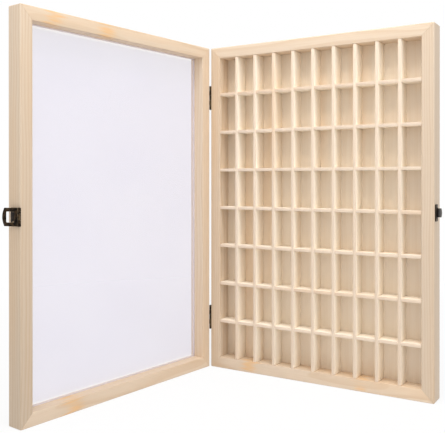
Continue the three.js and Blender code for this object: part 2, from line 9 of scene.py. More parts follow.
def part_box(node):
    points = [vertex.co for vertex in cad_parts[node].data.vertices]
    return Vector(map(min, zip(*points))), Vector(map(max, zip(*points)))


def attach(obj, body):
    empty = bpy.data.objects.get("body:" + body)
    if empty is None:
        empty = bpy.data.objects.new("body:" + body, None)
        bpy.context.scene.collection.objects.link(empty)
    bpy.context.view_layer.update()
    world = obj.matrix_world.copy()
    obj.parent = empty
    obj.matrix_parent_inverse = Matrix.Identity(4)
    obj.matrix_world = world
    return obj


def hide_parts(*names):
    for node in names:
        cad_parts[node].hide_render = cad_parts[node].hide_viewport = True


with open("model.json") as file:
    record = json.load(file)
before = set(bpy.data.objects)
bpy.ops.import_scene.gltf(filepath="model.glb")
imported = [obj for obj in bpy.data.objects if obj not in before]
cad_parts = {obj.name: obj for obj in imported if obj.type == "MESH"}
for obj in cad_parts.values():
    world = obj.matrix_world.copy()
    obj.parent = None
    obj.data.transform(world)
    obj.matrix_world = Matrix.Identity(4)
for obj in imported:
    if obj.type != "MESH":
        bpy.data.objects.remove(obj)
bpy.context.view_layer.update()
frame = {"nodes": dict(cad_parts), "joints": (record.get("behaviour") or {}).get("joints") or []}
scene = bpy.context.scene

# Camera
# A short telephoto view from in front and to the right, from a little above the case's middle.
# The shift puts the case in the frame as the photograph has it.
CAMERA_PLACE = (0.41266, -0.91122, 0.29434)
CAMERA_AZIMUTH = math.radians(31.601)
CAMERA_DIP = math.radians(0.163)
CAMERA_LENS = 54.928
CAMERA_SENSOR = 36
CAMERA_SHIFT = (-0.0169, -0.0780)


def linked(name, data):
    """A new object in the scene."""
    made = bpy.data.objects.new(name, data)
    scene.collection.objects.link(made)
    return made


camera = linked("camera", bpy.data.cameras.new("camera"))
looking = Vector((
    -math.sin(CAMERA_AZIMUTH) * math.cos(CAMERA_DIP),
    math.cos(CAMERA_AZIMUTH) * math.cos(CAMERA_DIP),
    -math.sin(CAMERA_DIP),
))
camera.location = CAMERA_PLACE
camera.rotation_euler = looking.to_track_quat("-Z", "Y").to_euler()
camera.data.lens = CAMERA_LENS
camera.data.sensor_width = CAMERA_SENSOR
camera.data.shift_x, camera.data.shift_y = CAMERA_SHIFT
scene.camera = camera
scene.view_settings.view_transform = "Standard"

# Studio
# A white sweep, lit by soft ambient light and three soft boxes: right, overhead and, weakly, left.
# The camera, gloss and clear plastic see plain white, and the case is lit by the lamps and the ambient.
FLOOR_SIDE = 60
FLOOR_WHITE = (0.86, 0.86, 0.86, 1)
FLOOR_GLOW_SHARE = 0.88
FLOOR_FADE = (0.35, 1.1)  # the stretch, out from the case, over which the floor goes to plain white
AMBIENT = 0.475
LAMP_AIM = (0.0, -0.1, 0.25)
SOFT_BOXES = {
    "right_box": {"place": (1.9, -1.2, 0.9), "side": 2.0, "power": 17.3},
    "top_box": {"place": (0.15, -0.45, 1.5), "side": 0.7, "power": 13.4},
    "left_box": {"place": (-1.2, -1.8, 1.0), "side": 2.0, "power": 9.5},
}


def feed(tree, node, inputs):
    """Links each input of a node to a socket, or sets it to a value."""
    for key, value in inputs.items():
        if isinstance(value, bpy.types.NodeSocket):
            tree.links.new(value, node.inputs[key])
        else:
            node.inputs[key].default_value = value


def add_node(tree, kind, inputs=None, **settings):
    """A node with its settings made and its inputs fed."""
    made = tree.nodes.new(kind)
    for key, value in settings.items():
        setattr(made, key, value)
    feed(tree, made, inputs or {})
    return made


def math_node(tree, operation, a, b=0.0):
    return add_node(tree, "ShaderNodeMath", {0: a, 1: b}, operation=operation).outputs[0]


def ramp(tree, value, low, high, to_low=0.0, to_high=1.0):
    """A smooth step of a value between two places."""
    return add_node(
        tree,
        "ShaderNodeMapRange",
        {"Value": value, "From Min": low, "From Max": high, "To Min": to_low, "To Max": to_high},
        interpolation_type="SMOOTHSTEP",
    ).outputs[0]


def vector_node(tree, operation, a, b=(0, 0, 0)):
    made = add_node(tree, "ShaderNodeVectorMath", {0: a, 1: b}, operation=operation)
    return made.outputs["Value" if operation == "LENGTH" else "Vector"]


def seen_directly(tree):
    """One where the camera, a glossy ray or a ray through clear plastic looks, and nought elsewhere."""
    path = add_node(tree, "ShaderNodeLightPath")
    total = math_node(tree, "ADD", path.outputs["Is Camera Ray"], path.outputs["Is Glossy Ray"])
    total = math_node(tree, "ADD", total, path.outputs["Is Transmission Ray"])
    return math_node(tree, "MINIMUM", total, 1.0)


def plain_mesh(name, mesh):
    """Mesh data made from a working mesh, which goes."""
    data = bpy.data.meshes.new(name)
    mesh.to_mesh(data)
    mesh.free()
    return data


def studio_floor():
    material = bpy.data.materials.new("studio_floor")
    material.use_nodes = True
    tree = material.node_tree
    tree.nodes.clear()
    paper = add_node(tree, "ShaderNodeBsdfDiffuse", {"Color": FLOOR_WHITE})
    glow = add_node(tree, "ShaderNodeEmission", {"Strength": 1.0})
    place = add_node(tree, "ShaderNodeTexCoord").outputs["Object"]
    glowing = ramp(tree, vector_node(tree, "LENGTH", place), *FLOOR_FADE, FLOOR_GLOW_SHARE, 1.0)
    share = math_node(tree, "MULTIPLY", seen_directly(tree), glowing)
    mixed = add_node(tree, "ShaderNodeMixShader", {0: share, 1: paper.outputs[0], 2: glow.outputs[0]})
    add_node(tree, "ShaderNodeOutputMaterial", {"Surface": mixed.outputs[0]})
    sheet = bmesh.new()
    bmesh.ops.create_grid(sheet, size=FLOOR_SIDE / 2)
    data = plain_mesh("studio_floor", sheet)
    data.materials.append(material)
    floor = linked("studio_floor", data)


def studio_world():
    world = bpy.data.worlds.new("studio")
    world.use_nodes = True
    scene.world = world
    tree = world.node_tree
    tree.nodes.clear()
    ambient = add_node(tree, "ShaderNodeBackground", {"Color": (1, 1, 1, 1), "Strength": AMBIENT})
    white = add_node(tree, "ShaderNodeBackground", {"Color": (1, 1, 1, 1), "Strength": 1.0})
    mixed = add_node(
        tree,
        "ShaderNodeMixShader",
        {0: seen_directly(tree), 1: ambient.outputs[0], 2: white.outputs[0]},
    )
    add_node(tree, "ShaderNodeOutputWorld", {"Surface": mixed.outputs[0]})


def soft_box(name, place, side, power):
    lamp = bpy.data.lights.new(name, "AREA")
    lamp.shape = "SQUARE"
    lamp.size = side
    lamp.energy = power
    box = linked(name, lamp)
    box.location = place
    box.rotation_euler = (Vector(LAMP_AIM) - Vector(place)).to_track_quat("-Z", "Y").to_euler()


studio_floor()
studio_world()
for name, values in SOFT_BOXES.items():
    soft_box(name, **values)

# Tray and lid frames
# Each leaf is a frame of four solid pine boards, mitred and glued at the corners, sanded and left bare.
# The tray's boards have a rebate behind for the back panel, and the lid's a groove for the clear sheet.
FRAME_ROUNDING = 0.0015  # outer edges and corners
FRAME_EASING = 0.0006  # inner edges
FRAME_GLUE_LINE = 0.0002
ROUNDING_STEPS = 6
EASING_STEPS = 3
WELD_DISTANCE = 1e-7  # points closer than this become one
SMOOTH_UP_TO = math.radians(35)  # an edge that turns less than this is shaded smooth
LID_DEPTH = 0.024
LID_GROOVE = (0.0169, 0.0195)  # from the lid's rim to the groove's two walls
LID_GROOVE_INSET = 0.0122  # from the outer face to the groove's floor
BACK_REBATE = 0.008

PINE_EARLY = (0.745, 0.60, 0.455)
PINE_LATE = (0.61, 0.415, 0.245)
PINE_WARM = (0.80, 0.49, 0.225)
PINE_GRAIN = {"ring_width": 0.0034, "ring_share": 0.5, "fibre_share": 0.3}

# Where each board was cut from its log: how far the log's heart lies from the board's outer corner,
# across and in front of the rim, and how far along the log the board starts.
BOARD_CUTS = {
    "tray_top": ((0.030, 0.075), 0.0),
    "tray_bottom": ((0.012, 0.046), 1.3),
    "tray_hinge_side": ((-0.085, 0.020), 2.6),
    "tray_latch_side": ((-0.070, 0.034), 3.9),
    "lid_top": ((0.022, 0.058), 5.2),
    "lid_bottom": ((0.018, 0.052), 6.5),
    "lid_hinge_side": ((-0.080, 0.045), 7.8),
    "lid_latch_side": ((-0.072, 0.060), 9.1),
}
# Warm resin streaks: the rail, the place along it and its half length as shares of the rail's length.
WARM_STREAK_SHARES = (
    ("lid_top", 0.86, 0.045),
    ("lid_top", 0.61, 0.055),
    ("lid_bottom", 0.78, 0.050),
    ("tray_bottom", 0.20, 0.045),
    ("tray_bottom", 0.70, 0.030),
)
STREAK_RAGGEDNESS = 0.06
STREAK_END_SHARES = (1.1, 0.1)  # of its half length, where a streak starts and where it is full
STREAK_STRENGTH = 0.8

# The wood's marks: how close they lie along the fibres and across them, the stretch of their noise
# over which they come up, and how strongly they show.
NOISE_SPAN = (0.3, 0.7)  # between these lie most of a noise's values
RING_WANDER = 0.011
RING_WANDER_SCALE = (5, 22, 22)
LATEWOOD_START_SHARES = (0.35, 0.86)  # of a ring's width, where its dark part comes up and is full
LATEWOOD_END_SHARES = (1.0, 0.92)  # and where it has ended and starts to end
YEAR_STRENGTH_SHARES = (0.45, 1.0)  # of the ring's full strength, in the palest year and the darkest
FIBRE_SCALE = (14, 1500, 1500)
FIBRE_ONSET = (0.42, 0.75)
CLOUD_SCALE = (2.2, 26, 26)
CLOUD_ONSET = (0.5, 0.75)
CLOUD_STRENGTH = 0.3
STREAK_SCALE = (9, 170, 170)
STREAK_ONSET = (0.32, 0.6)
STREAK_END_SCALE = (4, 260, 260)
WOOD_ROUGHNESS = (0.56, 0.42)
WOOD_SPECULAR = 0.45
WOOD_RELIEF = 0.00012
WOOD_RELIEF_STRENGTH = 0.25
RING_RELIEF_SHARE = 0.8  # of the fibres' relief

# Painted shade: how much darker each board is painted at its start and at its end, standing in for the light
# that falls off along it.
# Stiles start at the bottom, and rails at the hinge side.
BOARD_PAINTED_SHADE_SHARES = {
    "tray_bottom": (0.12, 0.0),
    "tray_hinge_side": (0.13, 0.06),
    "tray_latch_side": (0.16, 0.06),
    "lid_bottom": (0.03, 0.08),
    "lid_hinge_side": (0.05, 0.0),
    "lid_latch_side": (0.27, 0.01),
}


def joint(name):
    return next(found for found in frame["joints"] if found["name"] == name)


hinge_axis = Vector(joint("lid_hinge")["pos_m"])
hinge_axis.z = 0
lid_open = math.radians(joint("lid_hinge")["range_deg"][1])
IN_TRAY = Matrix.Translation(hinge_axis)
IN_LID = IN_TRAY @ Matrix.Rotation(-lid_open, 4, "Z")
LEAF_SEATS = {"tray": IN_TRAY, "lid": IN_LID}

tray_low, tray_high = (corner - hinge_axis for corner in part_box("tray_stile_latch_side"))
case_left = (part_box("tray_stile_hinge_side")[0] - hinge_axis).x
case_right = tray_high.x
case_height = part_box("tray_rail_top")[1].z
rail_width = tray_high.x - tray_low.x
tray_rim = tray_low.y
tray_depth = tray_high.y - tray_low.y
back_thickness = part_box("back_panel")[1].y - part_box("back_panel")[0].y


def arc(centre, radius, start, end, steps):
    """Points on an arc in a plane, from one angle to another in degrees."""
    turns = [math.radians(start + (end - start) * k / steps) for k in range(steps + 1)]
    return [(centre[0] + radius * math.cos(t), centre[1] + radius * math.sin(t)) for t in turns]


def outer_edges(depth):
    """A board's outer face and its two rounded edges, from the back to the rim, as (inset, depth)."""
    r = FRAME_ROUNDING
    return arc((r, depth - r), r, 90, 180, ROUNDING_STEPS) + arc((r, r), r, 180, 270, ROUNDING_STEPS)


def eased(inset, depth, deep):
    """A rounded inner edge. deep is 1 where the wood lies deeper than the corner, and -1 elsewhere."""
    r = FRAME_EASING
    return arc((inset - r, depth + deep * r), r, -90 * deep, 0, EASING_STEPS)


def tray_profile():
    """Section of a tray board: rounded outside, rebated behind."""
    ledge = tray_depth - back_thickness
    rebate = rail_width - BACK_REBATE
    rim_edge = eased(rail_width, 0, 1)
    back_edge = eased(rebate, tray_depth, -1)
    return [*outer_edges(tray_depth), *rim_edge, (rail_width, ledge), (rebate, ledge), *reversed(back_edge)]


def lid_profile():
    """Section of a lid board: rounded outside, grooved inside."""
    near, far = LID_GROOVE
    rim_edge = eased(rail_width, 0, 1)
    front_edge = eased(rail_width, LID_DEPTH, -1)
    groove = [(rail_width, near), (LID_GROOVE_INSET, near), (LID_GROOVE_INSET, far), (rail_width, far)]
    return [*outer_edges(LID_DEPTH), *rim_edge, *groove, *reversed(front_edge)]


def mitred_path(inset, length):
    """Places (along, inset) of one line of the section, from the frame's one corner round to the next."""
    saw = FRAME_GLUE_LINE * math.sqrt(0.5)
    radius = max(FRAME_ROUNDING - inset, 0)
    if radius:
        bend = arc((FRAME_ROUNDING, FRAME_ROUNDING), radius, 225, 270, ROUNDING_STEPS)
    else:
        bend = [(inset, inset)] * (ROUNDING_STEPS + 1)
    start = [(max(along, across + saw), across) for along, across in bend]
    return start + [(length - along, across) for along, across in reversed(start)]


def board_mesh(name, profile, length, place, cut, painted_shades):
    """A board swept from mitre to mitre. Its place in the log goes into an attribute that the grain reads,
    and its painted shade into another.
    """
    heart, along_log = cut
    start_painted_shade, end_painted_shade = painted_shades
    mesh = bmesh.new()
    log = mesh.verts.layers.float_vector.new("log")
    painted_shade = mesh.verts.layers.float.new("painted_shade")
    rows = []
    for inset, depth in profile:
        row = []
        for along, across in mitred_path(inset, length):
            vertex = mesh.verts.new(place(along, across, depth))
            vertex[log] = (along + along_log, across - heart[0], depth + heart[1])
            # painted shade, darker towards one end of the board
            vertex[painted_shade] = start_painted_shade + (end_painted_shade - start_painted_shade) * along / length
            row.append(vertex)
        rows.append(row)
    for this, following in zip(rows, rows[1:] + rows[:1]):
        for k in range(len(this) - 1):
            mesh.faces.new((this[k], this[k + 1], following[k + 1], following[k]))
    mesh.faces.new([row[0] for row in rows])
    mesh.faces.new([row[-1] for row in reversed(rows)])
    bmesh.ops.remove_doubles(mesh, verts=mesh.verts, dist=WELD_DISTANCE)
    return finished_mesh(name, mesh)


def finished_mesh(name, mesh):
    """A closed mesh with its faces outwards and its rounded edges shaded smooth."""
    bmesh.ops.recalc_face_normals(mesh, faces=mesh.faces)
    data = plain_mesh(name, mesh)
    data.shade_smooth()
    data.set_sharp_from_angle(angle=SMOOTH_UP_TO)
    return data


def add_piece(name, data, body, slot, material, *nodes):
    """A finished piece on its body, in place of its CAD nodes."""
    data.materials.clear()
    data.materials.append(material)
    piece = linked(name, data)
    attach(piece, body)
    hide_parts(*nodes)


def mix_colour(tree, share, a, b, blend="MIX"):
    """Colour b laid over colour a by a share. A colour is a socket or three numbers."""
    mixed = add_node(tree, "ShaderNodeMix", data_type="RGBA", blend_type=blend)
    for key, value in (("Factor", share), ("A", a), ("B", b)):
        socket = next(s for s in mixed.inputs if s.name == key and s.enabled)
        if isinstance(value, bpy.types.NodeSocket):
            tree.links.new(value, socket)
        else:
            socket.default_value = (*value, 1)
    return next(s for s in mixed.outputs if s.enabled)


def new_material(name):
    material = bpy.data.materials.new(name)
    material.use_nodes = True
    return material, material.node_tree, material.node_tree.nodes["Principled BSDF"]


def attribute(tree, name, output="Fac"):
    return add_node(tree, "ShaderNodeAttribute", attribute_name=name).outputs[output]


def noise(tree, place, scale, detail):
    inputs = {"Vector": place, "Scale": scale, "Detail": detail}
    return add_node(tree, "ShaderNodeTexNoise", inputs).outputs["Fac"]


def bump(tree, height, strength, distance):
    inputs = {"Height": height, "Strength": strength, "Distance": distance}
    return add_node(tree, "ShaderNodeBump", inputs).outputs[0]


def wood_material(name, early, late, ring_width, ring_share, fibre_share, streaks=()):
    """Bare softwood, read in its log's own coordinates: rings round the heart, fibres along the board."""
    material, tree, shader = new_material(name)
    log = attribute(tree, "log", "Vector")
    along = add_node(tree, "ShaderNodeSeparateXYZ", {0: log}).outputs["X"]

    def marks(scale, detail=3.0):
        """Noise that is drawn out along the fibres."""
        return noise(tree, vector_node(tree, "MULTIPLY", log, scale), 1.0, detail)

    radius = vector_node(tree, "LENGTH", vector_node(tree, "MULTIPLY", log, (0, 1, 1)))
    wander = math_node(tree, "MULTIPLY", marks(RING_WANDER_SCALE, detail=2.0), RING_WANDER)
    ring = math_node(tree, "DIVIDE", math_node(tree, "ADD", radius, wander), ring_width)
    phase = math_node(tree, "FRACT", ring)
    latewood = ramp(tree, phase, *LATEWOOD_START_SHARES)
    latewood = math_node(tree, "MULTIPLY", latewood, ramp(tree, phase, *LATEWOOD_END_SHARES))
    number = {"W": math_node(tree, "FLOOR", ring)}
    year = add_node(tree, "ShaderNodeTexWhiteNoise", number, noise_dimensions="1D").outputs["Value"]
    strength = ramp(tree, year, 0.0, 1.0, *YEAR_STRENGTH_SHARES)
    banding = math_node(tree, "MULTIPLY", math_node(tree, "MULTIPLY", latewood, strength), ring_share)
    colour = mix_colour(tree, banding, early, late)
    fibres = marks(FIBRE_SCALE, detail=4.0)
    colour = mix_colour(tree, ramp(tree, fibres, *FIBRE_ONSET, 0.0, fibre_share), colour, late)
    clouds = ramp(tree, marks(CLOUD_SCALE, detail=2.0), *CLOUD_ONSET, 0.0, CLOUD_STRENGTH)
    colour = mix_colour(tree, clouds, colour, PINE_WARM)
    ragged = math_node(tree, "SUBTRACT", marks(STREAK_END_SCALE), 0.5)
    ragged = math_node(tree, "MULTIPLY", ragged, STREAK_RAGGEDNESS)
    for centre, half_length in streaks:
        away = math_node(tree, "ADD", math_node(tree, "SUBTRACT", along, centre), ragged)
        ends = [share * half_length for share in STREAK_END_SHARES]
        near = ramp(tree, math_node(tree, "ABSOLUTE", away), *ends)
        patch = ramp(tree, marks(STREAK_SCALE), *STREAK_ONSET, 0.0, STREAK_STRENGTH)
        colour = mix_colour(tree, math_node(tree, "MULTIPLY", near, patch), colour, PINE_WARM)
    # painted shade: each board is darkened by the painted shade written on its points
    colour = mix_colour(tree, attribute(tree, "painted_shade"), colour, (0, 0, 0))
    relief = math_node(tree, "SUBTRACT", math_node(tree, "MULTIPLY", banding, RING_RELIEF_SHARE), fibres)
    feed(tree, shader, {
        "Base Color": colour,
        "Roughness": ramp(tree, fibres, *NOISE_SPAN, *WOOD_ROUGHNESS),
        "Specular IOR Level": WOOD_SPECULAR,
        "Normal": bump(tree, relief, WOOD_RELIEF_STRENGTH, WOOD_RELIEF),
    })
    return material


def board_places(leaf):
    """For each side of a frame: its length, and where a point (along, inset, depth) of it lies."""
    rim, way = (tray_rim, 1) if leaf == "tray" else (-tray_rim, -1)
    width = case_right - case_left

    def at(x, depth, z):
        return LEAF_SEATS[leaf] @ Vector((x, rim + way * depth, z))

    return {
        "top": (width, lambda along, inset, depth: at(case_left + along, depth, case_height - inset)),
        "bottom": (width, lambda along, inset, depth: at(case_left + along, depth, inset)),
        "hinge_side": (case_height, lambda along, inset, depth: at(case_left + inset, depth, along)),
        "latch_side": (case_height, lambda along, inset, depth: at(case_right - inset, depth, along)),
    }


def streak_places():
    """The middle of each warm streak along its log, and its half length."""
    length = case_right - case_left
    for rail, middle_share, half_share in WARM_STREAK_SHARES:
        yield BOARD_CUTS[rail][1] + middle_share * length, half_share * length


pine = wood_material("bare_pine", PINE_EARLY, PINE_LATE, streaks=tuple(streak_places()), **PINE_GRAIN)
for leaf, profile in (("tray", tray_profile()), ("lid", lid_profile())):
    for side, (length, place) in board_places(leaf).items():
        board = f"{leaf}_{side}"
        painted_shades = BOARD_PAINTED_SHADE_SHARES.get(board, (0.0, 0.0))
        data = board_mesh(f"{board}_board", profile, length, place, BOARD_CUTS[board], painted_shades)
        kind = "rail" if side in ("top", "bottom") else "stile"
        add_piece(f"{board}_board", data, leaf, "pine", pine, f"{leaf}_{kind}_{side}")

# Back panel
# A sheet of thin birch-faced plywood, let into the tray's rebate from behind and glued.
# Its face is seen at the bottom of every compartment.
PLYWOOD_EARLY = (0.91, 0.79, 0.645)
PLYWOOD_LATE = (0.84, 0.69, 0.525)
PLYWOOD_GRAIN = {"ring_width": 0.0052, "ring_share": 0.35, "fibre_share": 0.4}
PLYWOOD_EASING = 0.0003
PLYWOOD_HEART = (0.31, 0.9)
BROKEN_EDGE_STEPS = 2


def sheet_mesh(low, high, easing, log_place):
    """A flat sheet with its edges just broken. The grain runs upwards."""
    mesh = bmesh.new()
    bmesh.ops.create_cube(mesh, size=1)
    size = high - low
    bmesh.ops.scale(mesh, vec=size, verts=mesh.verts)
    bmesh.ops.translate(mesh, vec=(low + high) / 2, verts=mesh.verts)
    bmesh.ops.bevel(
        mesh, geom=mesh.edges[:], offset=easing, segments=BROKEN_EDGE_STEPS, affect="EDGES", profile=0.5
    )
    log = mesh.verts.layers.float_vector.new("log")
    for vertex in mesh.verts:
        vertex[log] = (vertex.co.z, vertex.co.x + log_place[0], vertex.co.y + log_place[1])
    return mesh


plywood = wood_material("plywood_face", PLYWOOD_EARLY, PLYWOOD_LATE, **PLYWOOD_GRAIN)
back = sheet_mesh(*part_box("back_panel"), PLYWOOD_EASING, PLYWOOD_HEART)
add_piece("back_sheet", finished_mesh("back_sheet", back), "tray", "plywood", plywood, "back_panel")

# Dividers
# Sawn pine strips, nine upright and seven level, each notched to half its depth where it crosses the others.
# They are pushed together like an egg crate, the upright ones from the front, and dropped into the tray.
DIVIDER_EASING = 0.0003
DIVIDER_EARLY = (0.97, 0.88, 0.75)
DIVIDER_LATE = (0.91, 0.76, 0.575)
DIVIDER_FRONT_SHADE = (0.79, 0.715, 0.66)  # painted shade: what the strips' front edges keep of the wood's colour
FRONT_FACING = (-0.4, -0.8)  # along Y, the way a surface faces where that tone starts and is full
NOTCH_WIDTH = 0.0048
NOTCH_CLEARANCE = 0.0003  # between the ends of two notches that meet
DIVIDER_GRAIN = {"ring_width": 0.0028, "ring_share": 0.35, "fibre_share": 0.38}
# The lowest and highest place of a strip in its log: how far along it, and how far from its heart.
STRIP_CUTS = ((0, 0.05, 0.02), (9, 0.14, 0.09))
UPRIGHT_LOG = 3
LEVEL_LOG = 8


def geometry_tree(name, sockets):
    """An empty node tree with named inputs: each is a name and a socket kind."""
    tree = bpy.data.node_groups.new(name, "GeometryNodeTree")
    tree.interface.new_socket("Geometry", in_out="OUTPUT", socket_type="NodeSocketGeometry")
    for label, kind in sockets:
        tree.interface.new_socket(label, in_out="INPUT", socket_type=kind)
    return tree, tree.nodes.new("NodeGroupInput").outputs


def stored(tree, geometry, name, value, kind):
    """Geometry with a value written to each of its points."""
    return add_node(
        tree,
        "GeometryNodeStoreNamedAttribute",
        {"Geometry": geometry, "Name": name, "Value": value},
        data_type=kind,
        domain="POINT",
    ).outputs[0]


def copies(tree, points, piece, **rotation):
    """A solid copy of a piece on each point."""
    placed = add_node(
        tree, "GeometryNodeInstanceOnPoints", {"Points": points, "Instance": piece, **rotation}
    ).outputs[0]
    return add_node(tree, "GeometryNodeRealizeInstances", {0: placed}).outputs[0]


def dressed(tree, geometry, material):
    """The finished tree: its geometry, in its material, is led to the output."""
    made = add_node(tree, "GeometryNodeSetMaterial", {"Geometry": geometry, "Material": material})
    tree.links.new(made.outputs[0], tree.nodes.new("NodeGroupOutput").inputs[0])
    return tree


def notched_strip_tree():
    """Strips side by side, each with a row of notches sawn into one edge."""
    number, count = "NodeSocketFloat", "NodeSocketInt"
    tree, given = geometry_tree(
        "notched_strips",
        [
            ("Length", number), ("Depth", number), ("Thickness", number),
            ("Strips", count), ("Strip Pitch", number),
            ("Notches", count), ("Notch Pitch", number), ("Notch Width", number), ("Notch Depth", number),
            ("Notched Edge", number), ("Log Seed", count), ("Wood", "NodeSocketMaterial"),
        ],
    )

    def vector(x=0.0, y=0.0, z=0.0):
        return add_node(tree, "ShaderNodeCombineXYZ", {"X": x, "Y": y, "Z": z}).outputs[0]

    def product(a, b):
        return math_node(tree, "MULTIPLY", a, b)

    def block(x, y, z):
        return add_node(tree, "GeometryNodeMeshCube", {"Size": vector(x, y, z)}).outputs[0]

    def row(number_of, pitch, start, step):
        """Points in a row, centred on the origin. start and step make a number a place along it."""
        reach = product(product(math_node(tree, "SUBTRACT", number_of, 1.0), pitch), -0.5)
        line = {"Count": number_of, "Start Location": start(reach), "Offset": step(pitch)}
        return add_node(tree, "GeometryNodeMeshLine", line, mode="OFFSET").outputs[0]

    def named(name, kind):
        return add_node(tree, "GeometryNodeInputNamedAttribute", {"Name": name}, data_type=kind).outputs[0]

    strip = block(given["Length"], given["Depth"], given["Thickness"])
    saw_depth = product(given["Notch Depth"], 2.0)
    saw_cut = block(given["Notch Width"], saw_depth, product(given["Thickness"], 2.0))
    edge = product(product(given["Depth"], given["Notched Edge"]), 0.5)
    cuts_at = row(given["Notches"], given["Notch Pitch"], lambda r: vector(r, edge), vector)
    cuts = {"Mesh 1": strip, "Mesh 2": copies(tree, cuts_at, saw_cut)}
    sawn = add_node(tree, "GeometryNodeMeshBoolean", cuts, operation="DIFFERENCE").outputs[0]
    position = add_node(tree, "GeometryNodeInputPosition").outputs[0]
    grained = stored(tree, sawn, "log", position, "FLOAT_VECTOR")

    def upwards(z):
        return vector(z=z)

    strips_at = row(given["Strips"], given["Strip Pitch"], upwards, upwards)
    index = add_node(tree, "GeometryNodeInputIndex").outputs[0]
    strips = copies(tree, stored(tree, strips_at, "strip", index, "INT"), grained)
    own_log = add_node(tree, "FunctionNodeRandomValue", data_type="FLOAT_VECTOR")
    own_log.inputs["Min"].default_value, own_log.inputs["Max"].default_value = STRIP_CUTS
    tree.links.new(named("strip", "INT"), own_log.inputs["ID"])
    tree.links.new(given["Log Seed"], own_log.inputs["Seed"])
    in_log = vector_node(tree, "ADD", named("log", "FLOAT_VECTOR"), own_log.outputs[0])
    return dressed(tree, stored(tree, strips, "log", in_log, "FLOAT_VECTOR"), given["Wood"])


def evaluated_mesh(carrier):
    """The mesh that an object's modifiers or curve make. The object goes."""
    evaluated = carrier.evaluated_get(bpy.context.evaluated_depsgraph_get())
    data = bpy.data.meshes.new_from_object(evaluated)
    bpy.data.objects.remove(carrier)
    return data


def grown_mesh(name, tree, values, finish=None, points=()):
    """What a node tree makes from these values and points. finish may add modifiers after it."""
    start = bpy.data.meshes.new(name)
    start.from_pydata(points, [], [])
    carrier = linked(name, start)
    modifier = carrier.modifiers.new(name, "NODES")
    modifier.node_group = tree
    for item in tree.interface.items_tree:
        if item.in_out == "INPUT" and item.name in values:
            modifier[item.identifier] = values[item.name]
    if finish:
        finish(carrier)
    return evaluated_mesh(carrier)


def ease_edges(carrier):
    edges = carrier.modifiers.new("eased_edges", "BEVEL")
    edges.width = DIVIDER_EASING
    edges.segments = BROKEN_EDGE_STEPS
    edges.limit_method = "ANGLE"


def dividers(start, axis):
    """The CAD nodes of the dividers of one direction, in their order along an axis."""
    return sorted((n for n in frame["nodes"] if n.startswith(start)), key=lambda n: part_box(n)[0][axis])


def even_pitch(places):
    return (max(places) - min(places)) / (len(places) - 1)


def divider_row(name, nodes, cross_nodes, axes, notched_edge, seed):
    """The dividers of one direction, notched for those that cross. axes: along, depth and thickness."""
    boxes = [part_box(node) for node in nodes]
    low, high = boxes[0]
    size = high - low
    middle = sum((a + b for a, b in boxes), Vector()) / (2 * len(boxes))
    along, deep, thick = axes
    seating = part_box("back_panel")[0].y - high.y  # the strips stand on the back panel
    size[deep] += seating
    middle[deep] += seating / 2
    crossing = [(a + b)[along] / 2 for a, b in map(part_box, cross_nodes)]
    own = [(a + b)[thick] / 2 for a, b in boxes]
    data = grown_mesh(
        name,
        notched_strips,
        {
            "Length": size[along],
            "Depth": size[deep],
            "Thickness": size[thick],
            "Strips": len(nodes),
            "Strip Pitch": even_pitch(own),
            "Notches": len(cross_nodes),
            "Notch Pitch": even_pitch(crossing),
            "Notch Width": NOTCH_WIDTH,
            "Notch Depth": (size[deep] + NOTCH_CLEARANCE) / 2,
            "Notched Edge": notched_edge,
            "Log Seed": seed,
            "Wood": divider_pine,
        },
        ease_edges,
    )
    turn = Matrix.Identity(4)  # the strips are drawn along X, with their depth in Y
    for column, axis in enumerate(axes):
        for line in range(3):
            turn[line][column] = 1.0 if line == axis else 0.0
    data.transform(Matrix.Translation(middle) @ turn)
    mesh = bmesh.new()
    mesh.from_mesh(data)
    add_piece(name, finished_mesh(name, mesh), "tray", "divider", divider_pine, *nodes)


def painted_front_shade(material):
    """Paints shade on the strips' front edges: their tone goes down a little where they face forwards."""
    tree = material.node_tree
    colour = tree.nodes["Principled BSDF"].inputs["Base Color"]
    smooth = colour.links[0].from_socket
    facing = add_node(tree, "ShaderNodeTexCoord").outputs["Normal"]
    depth = add_node(tree, "ShaderNodeSeparateXYZ", {0: facing}).outputs["Y"]
    # painted shade on every surface that faces forwards
    front = ramp(tree, depth, *FRONT_FACING)
    tree.links.new(mix_colour(tree, front, smooth, DIVIDER_FRONT_SHADE, "MULTIPLY"), colour)
    return material


divider_pine = painted_front_shade(wood_material("divider_pine", DIVIDER_EARLY, DIVIDER_LATE, **DIVIDER_GRAIN))
notched_strips = notched_strip_tree()
upright = dividers("vertical_divider", 0)
level = dividers("horizontal_divider", 2)
divider_row("upright_dividers", upright, level, (2, 1, 0), 1, UPRIGHT_LOG)
divider_row("level_dividers", level, upright, (0, 1, 2), -1, LEVEL_LOG)

# Clear panel
# A 2 mm sheet of clear acrylic, slid into the lid's groove before the last board is glued on.
# Its protective film gives it a cool, faint lavender tone and stops a little short of the frame.
# Painted light: a pale, nearly opaque strip along the frame covers the groove's shade that would show through
# the sheet.
PANEL_EASING = 0.0002
PANEL_INNER_FACE = 0.0172  # from the lid's rim
PANEL_THICKNESS = 0.002
PANEL_TONGUE = 0.0045
PANEL_ALPHA = 0.18
PANEL_TINT = (0.53, 0.46, 0.70)
PANEL_BARE = (0.92, 0.86, 0.90)
FILM_INSET = 0.0045  # from the lid boards' inner faces
FILM_CORNER = 0.005
PAINTED_LIGHT_EDGE = (0.0017, 0.0008)  # from the lid boards' inner faces, where the painted light strip starts and is full
PAINTED_LIGHT_EDGE_ALPHA = 0.9
FILM_END_SHARES = (0.9, 1.1)  # of the film's corner, where it starts to end and has ended
FILM_HAZE_SCALE = 9
FILM_HAZE_STRENGTH = 0.12
SCUFF_SCALE = 900
PANEL_ROUGHNESS = (0.05, 0.12)
ACRYLIC_IOR = 1.49


